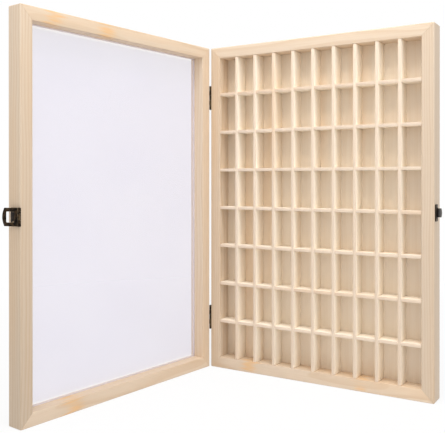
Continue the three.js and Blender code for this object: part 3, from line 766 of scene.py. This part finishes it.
def clear_panel_material():
    material, tree, shader = new_material("clear_panel")
    place = attribute(tree, "log", "Vector")
    centre = (case_height / 2, (case_left + case_right) / 2, 0)
    inset = rail_width + FILM_INSET + FILM_CORNER
    half = (case_height / 2 - inset, (case_right - case_left) / 2 - inset, 1)
    outward = vector_node(tree, "ABSOLUTE", vector_node(tree, "SUBTRACT", place, centre))
    past = vector_node(tree, "MAXIMUM", vector_node(tree, "SUBTRACT", outward, half))
    sides = add_node(tree, "ShaderNodeSeparateXYZ", {0: past}).outputs
    film_end = [FILM_CORNER * share for share in FILM_END_SHARES]
    bare = ramp(tree, vector_node(tree, "LENGTH", past), *film_end)
    haze = ramp(tree, noise(tree, place, FILM_HAZE_SCALE, detail=2.0), *NOISE_SPAN, 0.0, FILM_HAZE_STRENGTH)
    tint = mix_colour(tree, haze, PANEL_TINT, PANEL_BARE)
    scuffs = noise(tree, place, SCUFF_SCALE, detail=3.0)
    edge = [FILM_INSET + FILM_CORNER - from_board for from_board in PAINTED_LIGHT_EDGE]
    square_beyond = math_node(tree, "MAXIMUM", sides["X"], sides["Y"])
    feed(tree, shader, {
        "Base Color": mix_colour(tree, bare, tint, PANEL_BARE),
        "Roughness": ramp(tree, scuffs, *NOISE_SPAN, *PANEL_ROUGHNESS),
        "IOR": ACRYLIC_IOR,
        # painted light: the sheet turns pale and nearly opaque along the frame, over the groove's shade
        "Alpha": ramp(tree, square_beyond, *edge, PANEL_ALPHA, PAINTED_LIGHT_EDGE_ALPHA),
    })
    return material


def clear_panel():
    edge = rail_width - PANEL_TONGUE
    inner = -tray_rim - PANEL_INNER_FACE
    low = Vector((case_left + edge, inner - PANEL_THICKNESS, edge))
    high = Vector((case_right - edge, inner, case_height - edge))
    mesh = sheet_mesh(low, high, PANEL_EASING, (0, 0))
    bmesh.ops.transform(mesh, matrix=IN_LID, verts=mesh.verts)
    data = finished_mesh("clear_panel_sheet", mesh)
    add_piece("clear_panel_sheet", data, "lid", "clear_panel", clear_panel_material(), "lid_panel")


clear_panel()

# Butt hinges
# Two small leaf hinges of pressed steel with an antique bronze finish, screwed on the case's side faces.
# Each leaf is stamped from sheet, with its knuckles rolled round a loose-fitting pin that is peened over.
HINGE_HEIGHT = 0.037
HINGE_LEAF_WIDTH = 0.014
HINGE_PLATE = 0.0005
HINGE_PLATE_SEAT = 0.0002  # between a plate and the wood
HINGE_BARREL_RADIUS = 0.0013
HINGE_PIN_RADIUS = 0.0006
HINGE_PIN_CROWN = 0.0005
HINGE_KNUCKLES = 5
HINGE_CORNER = 0.0015
KNUCKLE_GAP = 0.0003
STAMPED_EDGE = 0.00015
SCREW_HEAD_RADIUS = 0.0021
SCREW_HEAD_CONE = 0.0009
SCREW_SHANK_RADIUS = 0.001
SCREW_FIT = 0.00025  # all round a screw
CORNER_STEPS = 5
ROUND_STEPS = 28
PIN_DOME_ANGLES = (0, 22, 45, 68, 90)
PIN_RUBBED_SHARES = (0.1, 0.8)  # on its side and at its ends

# A knuckle in line with its plate rolls on from it, and one that stands off it is first led over to the pin.
ROLL_START_SHARE = 1.25  # of the roll's radius, from the pin's axis
ROLL_TURN = 345
LEAD_START_SHARE = 1.4
LEAD_TURN = 290

BRONZE_DARK = (0.003, 0.0022, 0.0025)
BRONZE_BROWN = (0.022, 0.010, 0.0045)
BRONZE_RUBBED = (0.20, 0.145, 0.08)
# the grey of the catch's lug: partly bare steel, partly a painted reflection
BARE_STEEL_AND_SHEEN = (0.24, 0.235, 0.23)
MOTTLE_SCALE = 260
GRIT_SCALE = 3200
PATINA_ONSET = (0.38, 0.68)
RUBBED_ONSET = (0.35, 0.65)
RUBBED_STRENGTH = (0.1, 0.8)
BRONZE_ROUGHNESS = (0.52, 0.34)
BRONZE_RELIEF = 0.00004
BRONZE_RELIEF_STRENGTH = 0.2
BRONZE_METALLIC = 0.95


def rounded_outline(low, high, radius):
    """Corner points of a rectangle with rounded corners, anticlockwise."""
    left, right = low[0] + radius, high[0] - radius
    bottom, top = low[1] + radius, high[1] - radius
    points = []
    for quarter, centre in enumerate(((right, bottom), (right, top), (left, top), (left, bottom))):
        start = 90 * (quarter - 1)
        points += arc(centre, radius, start, start + 90, CORNER_STEPS)
    return points


def merged_bmesh(data):
    """A mesh to work on, with the points that lie on each other made one."""
    mesh = bmesh.new()
    mesh.from_mesh(data)
    bmesh.ops.remove_doubles(mesh, verts=mesh.verts, dist=WELD_DISTANCE)
    return mesh


def stamped_mesh(name, loops, low, high, place, edge=STAMPED_EDGE):
    """Sheet metal stamped to an outline with holes, its edges just rounded, from one height to another."""
    curve = bpy.data.curves.new(name, "CURVE")
    curve.dimensions = "2D"
    curve.fill_mode = "BOTH"
    curve.extrude = (high - low) / 2 - edge
    curve.bevel_depth = edge
    curve.bevel_resolution = 1
    curve.offset = -edge  # which the bevel gives back
    for loop in loops:
        spline = curve.splines.new("POLY")
        spline.points.add(len(loop) - 1)
        for point, (a, b) in zip(spline.points, loop):
            point.co = (a, b, 0, 1)
        spline.use_cyclic_u = True
    mesh = merged_bmesh(evaluated_mesh(linked(name, curve)))
    bmesh.ops.recalc_face_normals(mesh, faces=mesh.faces)
    rubbed = mesh.verts.layers.float.new("rubbed")
    for vertex in mesh.verts:
        square = vertex.normal.z ** 2
        vertex[rubbed] = 4 * square * (1 - square)  # one on the rounded edge, nought on the flat
    raised = place @ Matrix.Translation((0, 0, (low + high) / 2))
    bmesh.ops.transform(mesh, matrix=raised, verts=mesh.verts)
    return plain_mesh(name, mesh)


def turned_bmesh(profile):
    """A closed solid turned about Z from (radius, height) points that start and end on the axis."""
    mesh = bmesh.new()
    rings = []
    for radius, height in profile:
        count = ROUND_STEPS if radius else 1
        turns = [2 * math.pi * k / ROUND_STEPS for k in range(count)]
        rings.append([mesh.verts.new((radius * math.cos(t), radius * math.sin(t), height)) for t in turns])
    for lower, upper in zip(rings, rings[1:]):
        for k in range(ROUND_STEPS):
            a, b = lower[k % len(lower)], lower[(k + 1) % len(lower)]
            c, d = upper[(k + 1) % len(upper)], upper[k % len(upper)]
            mesh.faces.new(list(dict.fromkeys((a, b, c, d))))
    bmesh.ops.recalc_face_normals(mesh, faces=mesh.faces)
    return mesh


def welded(name, meshes, cutters=()):
    """Meshes joined into one closed body, less the cutters."""
    first, *others = (linked(f"{name}_stage_{k}", m) for k, m in enumerate([*meshes, *cutters]))
    for k, other in enumerate(others):
        step = first.modifiers.new(f"step_{k}", "BOOLEAN")
        step.operation = "UNION" if k + 1 < len(meshes) else "DIFFERENCE"
        step.object = other
        step.solver = "EXACT"
    data = evaluated_mesh(first)
    for other in others:
        bpy.data.objects.remove(other)
    return finished_mesh(name, merged_bmesh(data))


def countersink_mesh(plate, place):
    """The cone that is drilled from a plate's outer face for a screw's head, drawn about Z."""
    widest = SCREW_HEAD_RADIUS + SCREW_FIT
    slope = (SCREW_HEAD_RADIUS - SCREW_SHANK_RADIUS) / SCREW_HEAD_CONE
    narrow = max(widest - plate * slope, SCREW_SHANK_RADIUS + SCREW_FIT)
    waist = (widest - narrow) / slope
    over = plate  # how far the drill reaches past both faces
    mesh = turned_bmesh([
        (0, -plate - over), (narrow, -plate - over), (narrow, -waist), (widest, 0), (widest, over), (0, over),
    ])
    bmesh.ops.transform(mesh, matrix=place, verts=mesh.verts)
    return plain_mesh("countersink", mesh)


def bronze_material(name, dark, brown, rubbed_colour):
    """Antique bronze: a mottled dark patina that is rubbed to the warm metal along its edges."""
    material, tree, shader = new_material(name)
    place = add_node(tree, "ShaderNodeTexCoord").outputs["Object"]
    mottle = noise(tree, place, MOTTLE_SCALE, detail=4.0)
    patina = mix_colour(tree, ramp(tree, mottle, *PATINA_ONSET), dark, brown)
    uneven = ramp(tree, mottle, *RUBBED_ONSET, *RUBBED_STRENGTH)
    worn = math_node(tree, "MULTIPLY", attribute(tree, "rubbed"), uneven)
    colour = mix_colour(tree, worn, patina, rubbed_colour)
    grit = noise(tree, place, GRIT_SCALE, detail=2.0)
    feed(tree, shader, {
        # the lug's grey is partly wear, partly a painted reflection
        "Base Color": mix_colour(tree, attribute(tree, "bared_and_sheen"), colour, BARE_STEEL_AND_SHEEN),
        "Metallic": BRONZE_METALLIC,
        "Roughness": ramp(tree, mottle, *NOISE_SPAN, *BRONZE_ROUGHNESS),
        "Normal": bump(tree, grit, BRONZE_RELIEF_STRENGTH, BRONZE_RELIEF),
    })
    return material


def knuckle_spans(low, high, count):
    """The stretches that the knuckles of a barrel fill, one above the other."""
    length = (high - low - (count - 1) * KNUCKLE_GAP) / count
    starts = [low + k * (length + KNUCKLE_GAP) for k in range(count)]
    return [(start, start + length) for start in starts]


def rolled_outline(plate_line, reach, radius, thickness):
    """Section of a strip that comes along its plate and rolls round the pin.

    plate_line is how far off the pin's axis the plate's middle lies, and reach where the strip starts.
    """
    mean = radius - thickness / 2
    if plate_line < mean:
        meet = math.degrees(math.acos(plate_line / mean))
        line = [(plate_line, reach), (plate_line, mean * ROLL_START_SHARE)]
        line += arc((0, 0), mean, meet, meet - ROLL_TURN, ROUND_STEPS)
    else:
        line = [(plate_line, reach)]
        for k in range(CORNER_STEPS):
            t = k / CORNER_STEPS
            over = (mean - plate_line) * t * t * (3 - 2 * t)
            line.append((plate_line + over, mean * LEAD_START_SHARE * (1 - t)))
        line += arc((0, 0), mean, 0, -LEAD_TURN, ROUND_STEPS)
    outer, inner = [], []
    for k, (x, y) in enumerate(line):
        before = Vector(line[max(k - 1, 0)])
        after = Vector(line[min(k + 1, len(line) - 1)])
        way = (after - before).normalized()
        across = Vector((way.y, -way.x)) * thickness / 2
        outer.append((x - across.x, y - across.y))
        inner.append((x + across.x, y + across.y))
    return outer + inner[::-1]


# Stands a flat outline up in Y and Z, with its thickness along X.
SIDEWAYS = Matrix(((0, 0, 1, 0), (1, 0, 0, 0), (0, 1, 0, 0), (0, 0, 0, 1)))


def box_in(seat, node):
    """Lowest and highest corner of a CAD node in its leaf's own axes, as the case lies shut."""
    back = seat.inverted()
    points = [back @ vertex.co for vertex in frame["nodes"][node].data.vertices]
    low = Vector(min(p[k] for p in points) for k in range(3))
    high = Vector(max(p[k] for p in points) for k in range(3))
    return low, high


def screw_seats(seat, start):
    """Where the screws whose names start this way stand: the middle of each head, in Y and Z."""
    found = sorted(n for n in frame["nodes"] if n.startswith(f"{start}_screw_"))
    middles = [sum(box_in(seat, n), Vector()) / 2 for n in found]
    return found, [(m.y, m.z) for m in middles]


def countersinks(seat, start, face, plate, outwards):
    """The drills for a plate's screw holes. face is the plate's outer face, and outwards 1 or -1 along X."""
    turn = Matrix.Rotation(math.radians(90 * outwards), 4, "Y")
    _, places = screw_seats(seat, start)
    return [countersink_mesh(plate, seat @ Matrix.Translation((face, y, z)) @ turn) for y, z in places]


def hinge_leaf(hinge, leaf):
    side, first_knuckle = (1, 0) if leaf == "tray" else (-1, 1)
    seat = LEAF_SEATS[leaf]
    middle = sum(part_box(f"{hinge}_hinge_pin"), Vector()).z / 2
    low, high = middle - HINGE_HEIGHT / 2, middle + HINGE_HEIGHT / 2
    inner = case_left - HINGE_PLATE_SEAT
    outer = inner - HINGE_PLATE
    clear = HINGE_BARREL_RADIUS + KNUCKLE_GAP
    near, far = sorted((side * clear, side * HINGE_LEAF_WIDTH))
    outline = rounded_outline((near, low), (far, high), HINGE_CORNER)
    plate = stamped_mesh("plate", [outline], outer, inner, seat @ SIDEWAYS)
    rolled = rolled_outline((outer + inner) / 2, clear + HINGE_CORNER, HINGE_BARREL_RADIUS, HINGE_PLATE)
    rolled = [(x, side * y) for x, y in rolled]
    own = knuckle_spans(low, high, HINGE_KNUCKLES)[first_knuckle::2]
    knuckles = [stamped_mesh("knuckle", [rolled], *span, seat, STAMPED_EDGE / 2) for span in own]
    cones = countersinks(seat, f"{hinge}_hinge_{leaf}", outer, HINGE_PLATE, -1)
    name = f"{hinge}_{leaf}_leaf"
    data = welded(name, [plate, *knuckles], cones)
    add_piece(name, data, leaf, "bronze", bronze, f"{hinge}_hinge_{leaf}_leaf")


def peened_pin(name, node, body, radius, crown):
    """A round pin whose ends are peened to low domes."""
    low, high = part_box(node)
    half = (high.z - low.z) / 2
    turns = [math.radians(angle) for angle in PIN_DOME_ANGLES]
    dome = [(radius * math.sin(t), half - crown + crown * math.cos(t)) for t in turns]
    mesh = turned_bmesh([(r, -height) for r, height in dome] + dome[::-1])
    rubbed = mesh.verts.layers.float.new("rubbed")
    side_share, end_share = PIN_RUBBED_SHARES
    for vertex in mesh.verts:
        vertex[rubbed] = end_share if abs(vertex.co.z) > half - crown else side_share
    bmesh.ops.translate(mesh, vec=(low + high) / 2, verts=mesh.verts)
    add_piece(name, finished_mesh(name, mesh), body, "bronze", bronze, node)


bronze = bronze_material("antique_bronze", BRONZE_DARK, BRONZE_BROWN, BRONZE_RUBBED)
for hinge in ("upper", "lower"):
    for leaf in ("tray", "lid"):
        hinge_leaf(hinge, leaf)
    peened_pin(f"{hinge}_pin", f"{hinge}_hinge_pin", "tray", HINGE_PIN_RADIUS, HINGE_PIN_CROWN)

# Hasp
# A base plate screwed to the lid's side face carries a bowed flap on a pin. Its window drops over the catch.
# Pressed steel with the same antique finish. The photograph shows the flap thrown open.
HASP_HEIGHT = 0.0218
HASP_PLATE = 0.001
HASP_PLATE_LENGTH = 0.018
HASP_CORNER = 0.0015
HASP_BARREL_RADIUS = 0.0021
HASP_BARREL_WALL = 0.00095
HASP_PIN_RADIUS = 0.0007
HASP_KNUCKLES = 3
FLAP_THICKNESS = 0.0012
FLAP_LENGTH = 0.0207
FLAP_BULGE = 0.0022
FLAP_CORNER = 0.0015
FLAP_CORNER_STEPS = 4
WINDOW_START = 0.006
WINDOW_LENGTH = 0.0118
WINDOW_HEIGHT = 0.0128
WINDOW_CORNER = 0.0012
HASP_EDGE = 0.00028  # rounded off the hasp's and the catch's sheet
BOW_STEPS = 14

hasp_axis = sum(box_in(IN_LID, "hasp_pin"), Vector()) / 2
hasp_middle = hasp_axis.z
hasp_spans = knuckle_spans(hasp_middle - HASP_HEIGHT / 2, hasp_middle + HASP_HEIGHT / 2, HASP_KNUCKLES)
flap_open = math.radians(joint("hasp_swing")["range_deg"][1])


def bowed(start, control, end, steps):
    """Points on a curve that leaves start towards control and comes into end from it."""
    shares = [k / steps for k in range(steps + 1)]
    pairs = zip(start, control, end)
    lines = [[(1 - t) ** 2 * a + 2 * t * (1 - t) * b + t * t * c for t in shares] for a, b, c in pairs]
    return list(zip(*lines))


def hasp_base():
    inner = case_right + HINGE_PLATE_SEAT
    outer = inner + HASP_PLATE
    near = hasp_axis.y - HASP_BARREL_RADIUS - KNUCKLE_GAP
    far = -tray_rim - HASP_PLATE_LENGTH
    low, high = hasp_spans[0][0], hasp_spans[-1][1]
    outline = rounded_outline((far, low), (near, high), HASP_CORNER)
    plate = stamped_mesh("plate", [outline], inner, outer, IN_LID @ SIDEWAYS, HASP_EDGE)
    plate_line = hasp_axis.x - (inner + outer) / 2
    reach = hasp_axis.y - near + HASP_CORNER
    rolled = rolled_outline(plate_line, reach, HASP_BARREL_RADIUS, HASP_BARREL_WALL)
    rolled = [(hasp_axis.x - x, hasp_axis.y - y) for x, y in rolled]
    knuckles = [stamped_mesh("knuckle", [rolled], *span, IN_LID, STAMPED_EDGE) for span in hasp_spans[::2]]
    cones = countersinks(IN_LID, "hasp", outer, HASP_PLATE, 1)
    data = welded("hasp_base", [plate, *knuckles], cones)
    add_piece("hasp_base", data, "lid", "bronze", bronze, "hasp_base_plate")


def flap_outline():
    """The flap from its knuckle to its bowed free end, with a window for the catch's lug."""
    half = HASP_HEIGHT / 2
    start = HASP_BARREL_RADIUS + KNUCKLE_GAP
    side_end = (FLAP_LENGTH - FLAP_CORNER, -half)
    bow_start, bow_end = (FLAP_LENGTH, -half + FLAP_CORNER), (FLAP_LENGTH, half - FLAP_CORNER)
    corner = bowed(side_end, (FLAP_LENGTH, -half), bow_start, FLAP_CORNER_STEPS)
    bow = bowed(bow_start, (FLAP_LENGTH + 2 * FLAP_BULGE, 0), bow_end, BOW_STEPS)
    mirrored = [(a, -b) for a, b in reversed(corner)]
    window_low = (WINDOW_START, -WINDOW_HEIGHT / 2)
    window_high = (WINDOW_START + WINDOW_LENGTH, WINDOW_HEIGHT / 2)
    window = rounded_outline(window_low, window_high, WINDOW_CORNER)
    return [[(start, -half), *corner, *bow[1:-1], *mirrored, (start, half)], window]


def hasp_flap():
    swing = IN_LID @ Matrix.Translation(hasp_axis) @ Matrix.Rotation(-flap_open, 4, "Z")
    half_thick = FLAP_THICKNESS / 2
    plate = stamped_mesh("plate", flap_outline(), -half_thick, half_thick, swing @ SIDEWAYS, HASP_EDGE)
    low, high = (z - hasp_middle for z in hasp_spans[1])
    radii = (HASP_BARREL_RADIUS, HASP_BARREL_RADIUS - HASP_BARREL_WALL)
    rings = [arc((0, 0), radius, 0, 360, ROUND_STEPS)[:-1] for radius in radii]
    knuckle = stamped_mesh("knuckle", rings, low, high, swing, STAMPED_EDGE)
    root = HASP_BARREL_RADIUS + KNUCKLE_GAP + FLAP_THICKNESS
    barrel_middle = HASP_BARREL_RADIUS - HASP_BARREL_WALL / 2
    tongue_outline = [(barrel_middle, low), (root, low), (root, high), (barrel_middle, high)]
    tongue = stamped_mesh("tongue", [tongue_outline], -half_thick, half_thick, swing @ SIDEWAYS, STAMPED_EDGE)
    data = welded("hasp_flap_plate", [plate, knuckle, tongue])
    add_piece("hasp_flap_plate", data, "hasp_flap", "bronze", bronze, "hasp_flap")


hasp_base()
hasp_flap()
peened_pin("hasp_hinge_pin", "hasp_pin", "lid", HASP_PIN_RADIUS, HINGE_PIN_CROWN)

# Catch
# A small plate on the tray's side face, level with the hasp.
# Its upstanding lug leans back a little, so that the flap snaps over it, and has a bowed edge.
# The lug is painted grey: partly steel that the flap has rubbed bare, partly a painted reflection.
CATCH_HEIGHT = 0.0225
CATCH_LENGTH = 0.0115
CATCH_PLATE = 0.001
CATCH_CORNER = 0.0015
CATCH_EDGE_INSET = 0.0025
LUG_INSET = 0.011
LUG_WIDTH = 0.012
LUG_HEIGHT = 0.005
LUG_BULGE = 0.0008
LUG_THICKNESS = 0.0014
LUG_LEAN = math.radians(10)
# how much of the lug is painted grey: partly wear, partly a painted reflection
LUG_BARED_AND_SHEEN_SHARE = 0.5
# Stands a flat outline up in Z and X, with its thickness along Y.
OUTWARDS = Matrix(((0, 1, 0, 0), (0, 0, 1, 0), (1, 0, 0, 0), (0, 0, 0, 1)))


def catch():
    inner = case_right + HINGE_PLATE_SEAT
    outer = inner + CATCH_PLATE
    near = tray_rim + CATCH_EDGE_INSET
    low, high = hasp_middle - CATCH_HEIGHT / 2, hasp_middle + CATCH_HEIGHT / 2
    outline = rounded_outline((near, low), (near + CATCH_LENGTH, high), CATCH_CORNER)
    plate = stamped_mesh("plate", [outline], inner, outer, IN_TRAY @ SIDEWAYS, HASP_EDGE)
    half = LUG_WIDTH / 2
    top = CATCH_PLATE / 2 + LUG_HEIGHT
    bow = bowed((half, top), (0, top + 2 * LUG_BULGE), (-half, top), BOW_STEPS)
    foot = Matrix.Translation((inner + CATCH_PLATE / 2, tray_rim + LUG_INSET, hasp_middle))
    lean = IN_TRAY @ foot @ Matrix.Rotation(LUG_LEAN, 4, "Z") @ OUTWARDS
    lug = stamped_mesh("lug", [[(-half, 0), (half, 0), *bow]], 0, LUG_THICKNESS, lean, HASP_EDGE)
    data = welded("catch_with_lug", [plate, lug], countersinks(IN_TRAY, "catch", outer, CATCH_PLATE, 1))
    out_of_plate = IN_TRAY.translation.x + outer + CATCH_PLATE  # where the flap starts to rub
    # painted grey over the whole lug: partly wear, partly a painted reflection
    bared_and_sheen = data.attributes.new("bared_and_sheen", "FLOAT", "POINT")
    for vertex, share in zip(data.vertices, bared_and_sheen.data):
        share.value = LUG_BARED_AND_SHEEN_SHARE if vertex.co.x > out_of_plate else 0.0
    add_piece("catch_with_lug", data, "tray", "bronze", bronze, "catch_plate")


catch()

# Screws
# Twelve short countersunk wood screws with low crowned heads and a cross recess, bronzed like the plates.
# Each one stops at its own turn, as screws driven by hand do.
SCREW_LENGTH = 0.009
SCREW_TIP = 0.002
SCREW_HEAD_CROWN = 0.0003
CROSS_WIDTH = 0.00055
CROSS_LENGTH = 0.0024
CROSS_DEPTH = 0.0006
CROSS_FLOOR_SHARES = (0.55, 0.55)  # of the slot's length and width, at its floor
CROSS_MOUTH_SHARES = (1.4, 1.2)  # and above the head
SCREW_CROWN_ANGLES = (0, 15, 35, 60)
SCREW_RUBBED_SHARE = 0.7
SCREW_DARK = (0.050, 0.034, 0.022)
SCREW_BROWN = (0.120, 0.078, 0.045)
SCREW_RUBBED = (0.50, 0.38, 0.24)


def cross_slot(turn):
    """One slot of the cross recess, narrower at its floor."""
    mesh = bmesh.new()
    bmesh.ops.create_cube(mesh, size=1)
    for vertex in mesh.verts:
        above = vertex.co.z > 0
        length_share, width_share = CROSS_MOUTH_SHARES if above else CROSS_FLOOR_SHARES
        vertex.co.x *= CROSS_LENGTH * length_share
        vertex.co.y *= CROSS_WIDTH * width_share
        vertex.co.z = SCREW_HEAD_CROWN + (CROSS_DEPTH if above else -CROSS_DEPTH)
    bmesh.ops.rotate(mesh, matrix=Matrix.Rotation(turn, 3, "Z"), verts=mesh.verts)
    return plain_mesh("cross_slot", mesh)


def screw_mesh():
    """The screw about Z, with its head's rim at nought and its crown above."""
    turns = [math.radians(angle) for angle in SCREW_CROWN_ANGLES]
    turned = turned_bmesh([
        (0, -SCREW_LENGTH),
        (SCREW_SHANK_RADIUS, SCREW_TIP - SCREW_LENGTH),
        (SCREW_SHANK_RADIUS, -SCREW_HEAD_CONE),
        *[(SCREW_HEAD_RADIUS * math.cos(t), SCREW_HEAD_CROWN * math.sin(t)) for t in turns],
        (0, SCREW_HEAD_CROWN),
    ])
    rubbed = turned.verts.layers.float.new("rubbed")
    for vertex in turned.verts:
        vertex[rubbed] = SCREW_RUBBED_SHARE if vertex.co.z >= 0 else 0.0
    return welded("screw", [plain_mesh("turned_screw", turned)], [cross_slot(0), cross_slot(math.pi / 2)])


def seated_screw_tree():
    """A screw on each seat, facing out of its plate and turned at random."""
    tree, given = geometry_tree(
        "seated_screws",
        [
            ("Seats", "NodeSocketGeometry"),
            ("Screw", "NodeSocketObject"),
            ("Facing", "NodeSocketVector"),
            ("Turn Seed", "NodeSocketInt"),
            ("Metal", "NodeSocketMaterial"),
        ],
    )
    screw = add_node(tree, "GeometryNodeObjectInfo", {"Object": given["Screw"]}).outputs["Geometry"]
    turn = add_node(tree, "FunctionNodeRandomValue", {"Seed": given["Turn Seed"]}, data_type="FLOAT")
    turn.inputs[3].default_value = 2 * math.pi  # the highest value
    about = {"Axis": (0, 0, 1), "Angle": turn.outputs[1]}
    driven = add_node(tree, "FunctionNodeAxisAngleToRotation", about).outputs[0]
    facing = {"Vector": given["Facing"]}
    outwards = add_node(tree, "FunctionNodeAlignRotationToVector", facing, axis="Z").outputs[0]
    both = {"Rotation": outwards, "Rotate By": driven}
    rotation = add_node(tree, "FunctionNodeRotateRotation", both, rotation_space="LOCAL").outputs[0]
    return dressed(tree, copies(tree, given["Seats"], screw, Rotation=rotation), given["Metal"])


def drive_screws(name, body, starts, face, outwards, seed):
    """The screws of one leaf, as one piece. face is the outer face of the plate that they hold."""
    seat = LEAF_SEATS[body]
    nodes, points = [], []
    for start in starts:
        found, places = screw_seats(seat, start)
        nodes += found
        points += [seat @ Vector((face, y, z)) for y, z in places]
    data = grown_mesh(
        name,
        seated_screws,
        {
            "Screw": screw,
            "Facing": tuple(seat.to_3x3() @ Vector((outwards, 0, 0))),
            "Turn Seed": seed,
            "Metal": screw_bronze,
        },
        points=points,
    )
    add_piece(name, data, body, "screw", screw_bronze, *nodes)


screw_bronze = bronze_material("screw_bronze", SCREW_DARK, SCREW_BROWN, SCREW_RUBBED)
seated_screws = seated_screw_tree()
screw = bpy.data.objects.new("screw", screw_mesh())
hinge_face = case_left - HINGE_PLATE_SEAT - HINGE_PLATE
latch_face = case_right + HINGE_PLATE_SEAT + HASP_PLATE
# The leaf, the first words of the nodes, the plates' outer face and the way out of it, and a seed.
SCREW_GROUPS = {
    "tray_hinge_screws": ("tray", ("upper_hinge_tray", "lower_hinge_tray"), hinge_face, -1, 4),
    "lid_hinge_screws": ("lid", ("upper_hinge_lid", "lower_hinge_lid"), hinge_face, -1, 9),
    "hasp_screws": ("lid", ("hasp",), latch_face, 1, 2),
    "catch_screws": ("tray", ("catch",), latch_face, 1, 6),
}
for name, group in SCREW_GROUPS.items():
    drive_screws(name, *group)
bpy.data.objects.remove(screw)
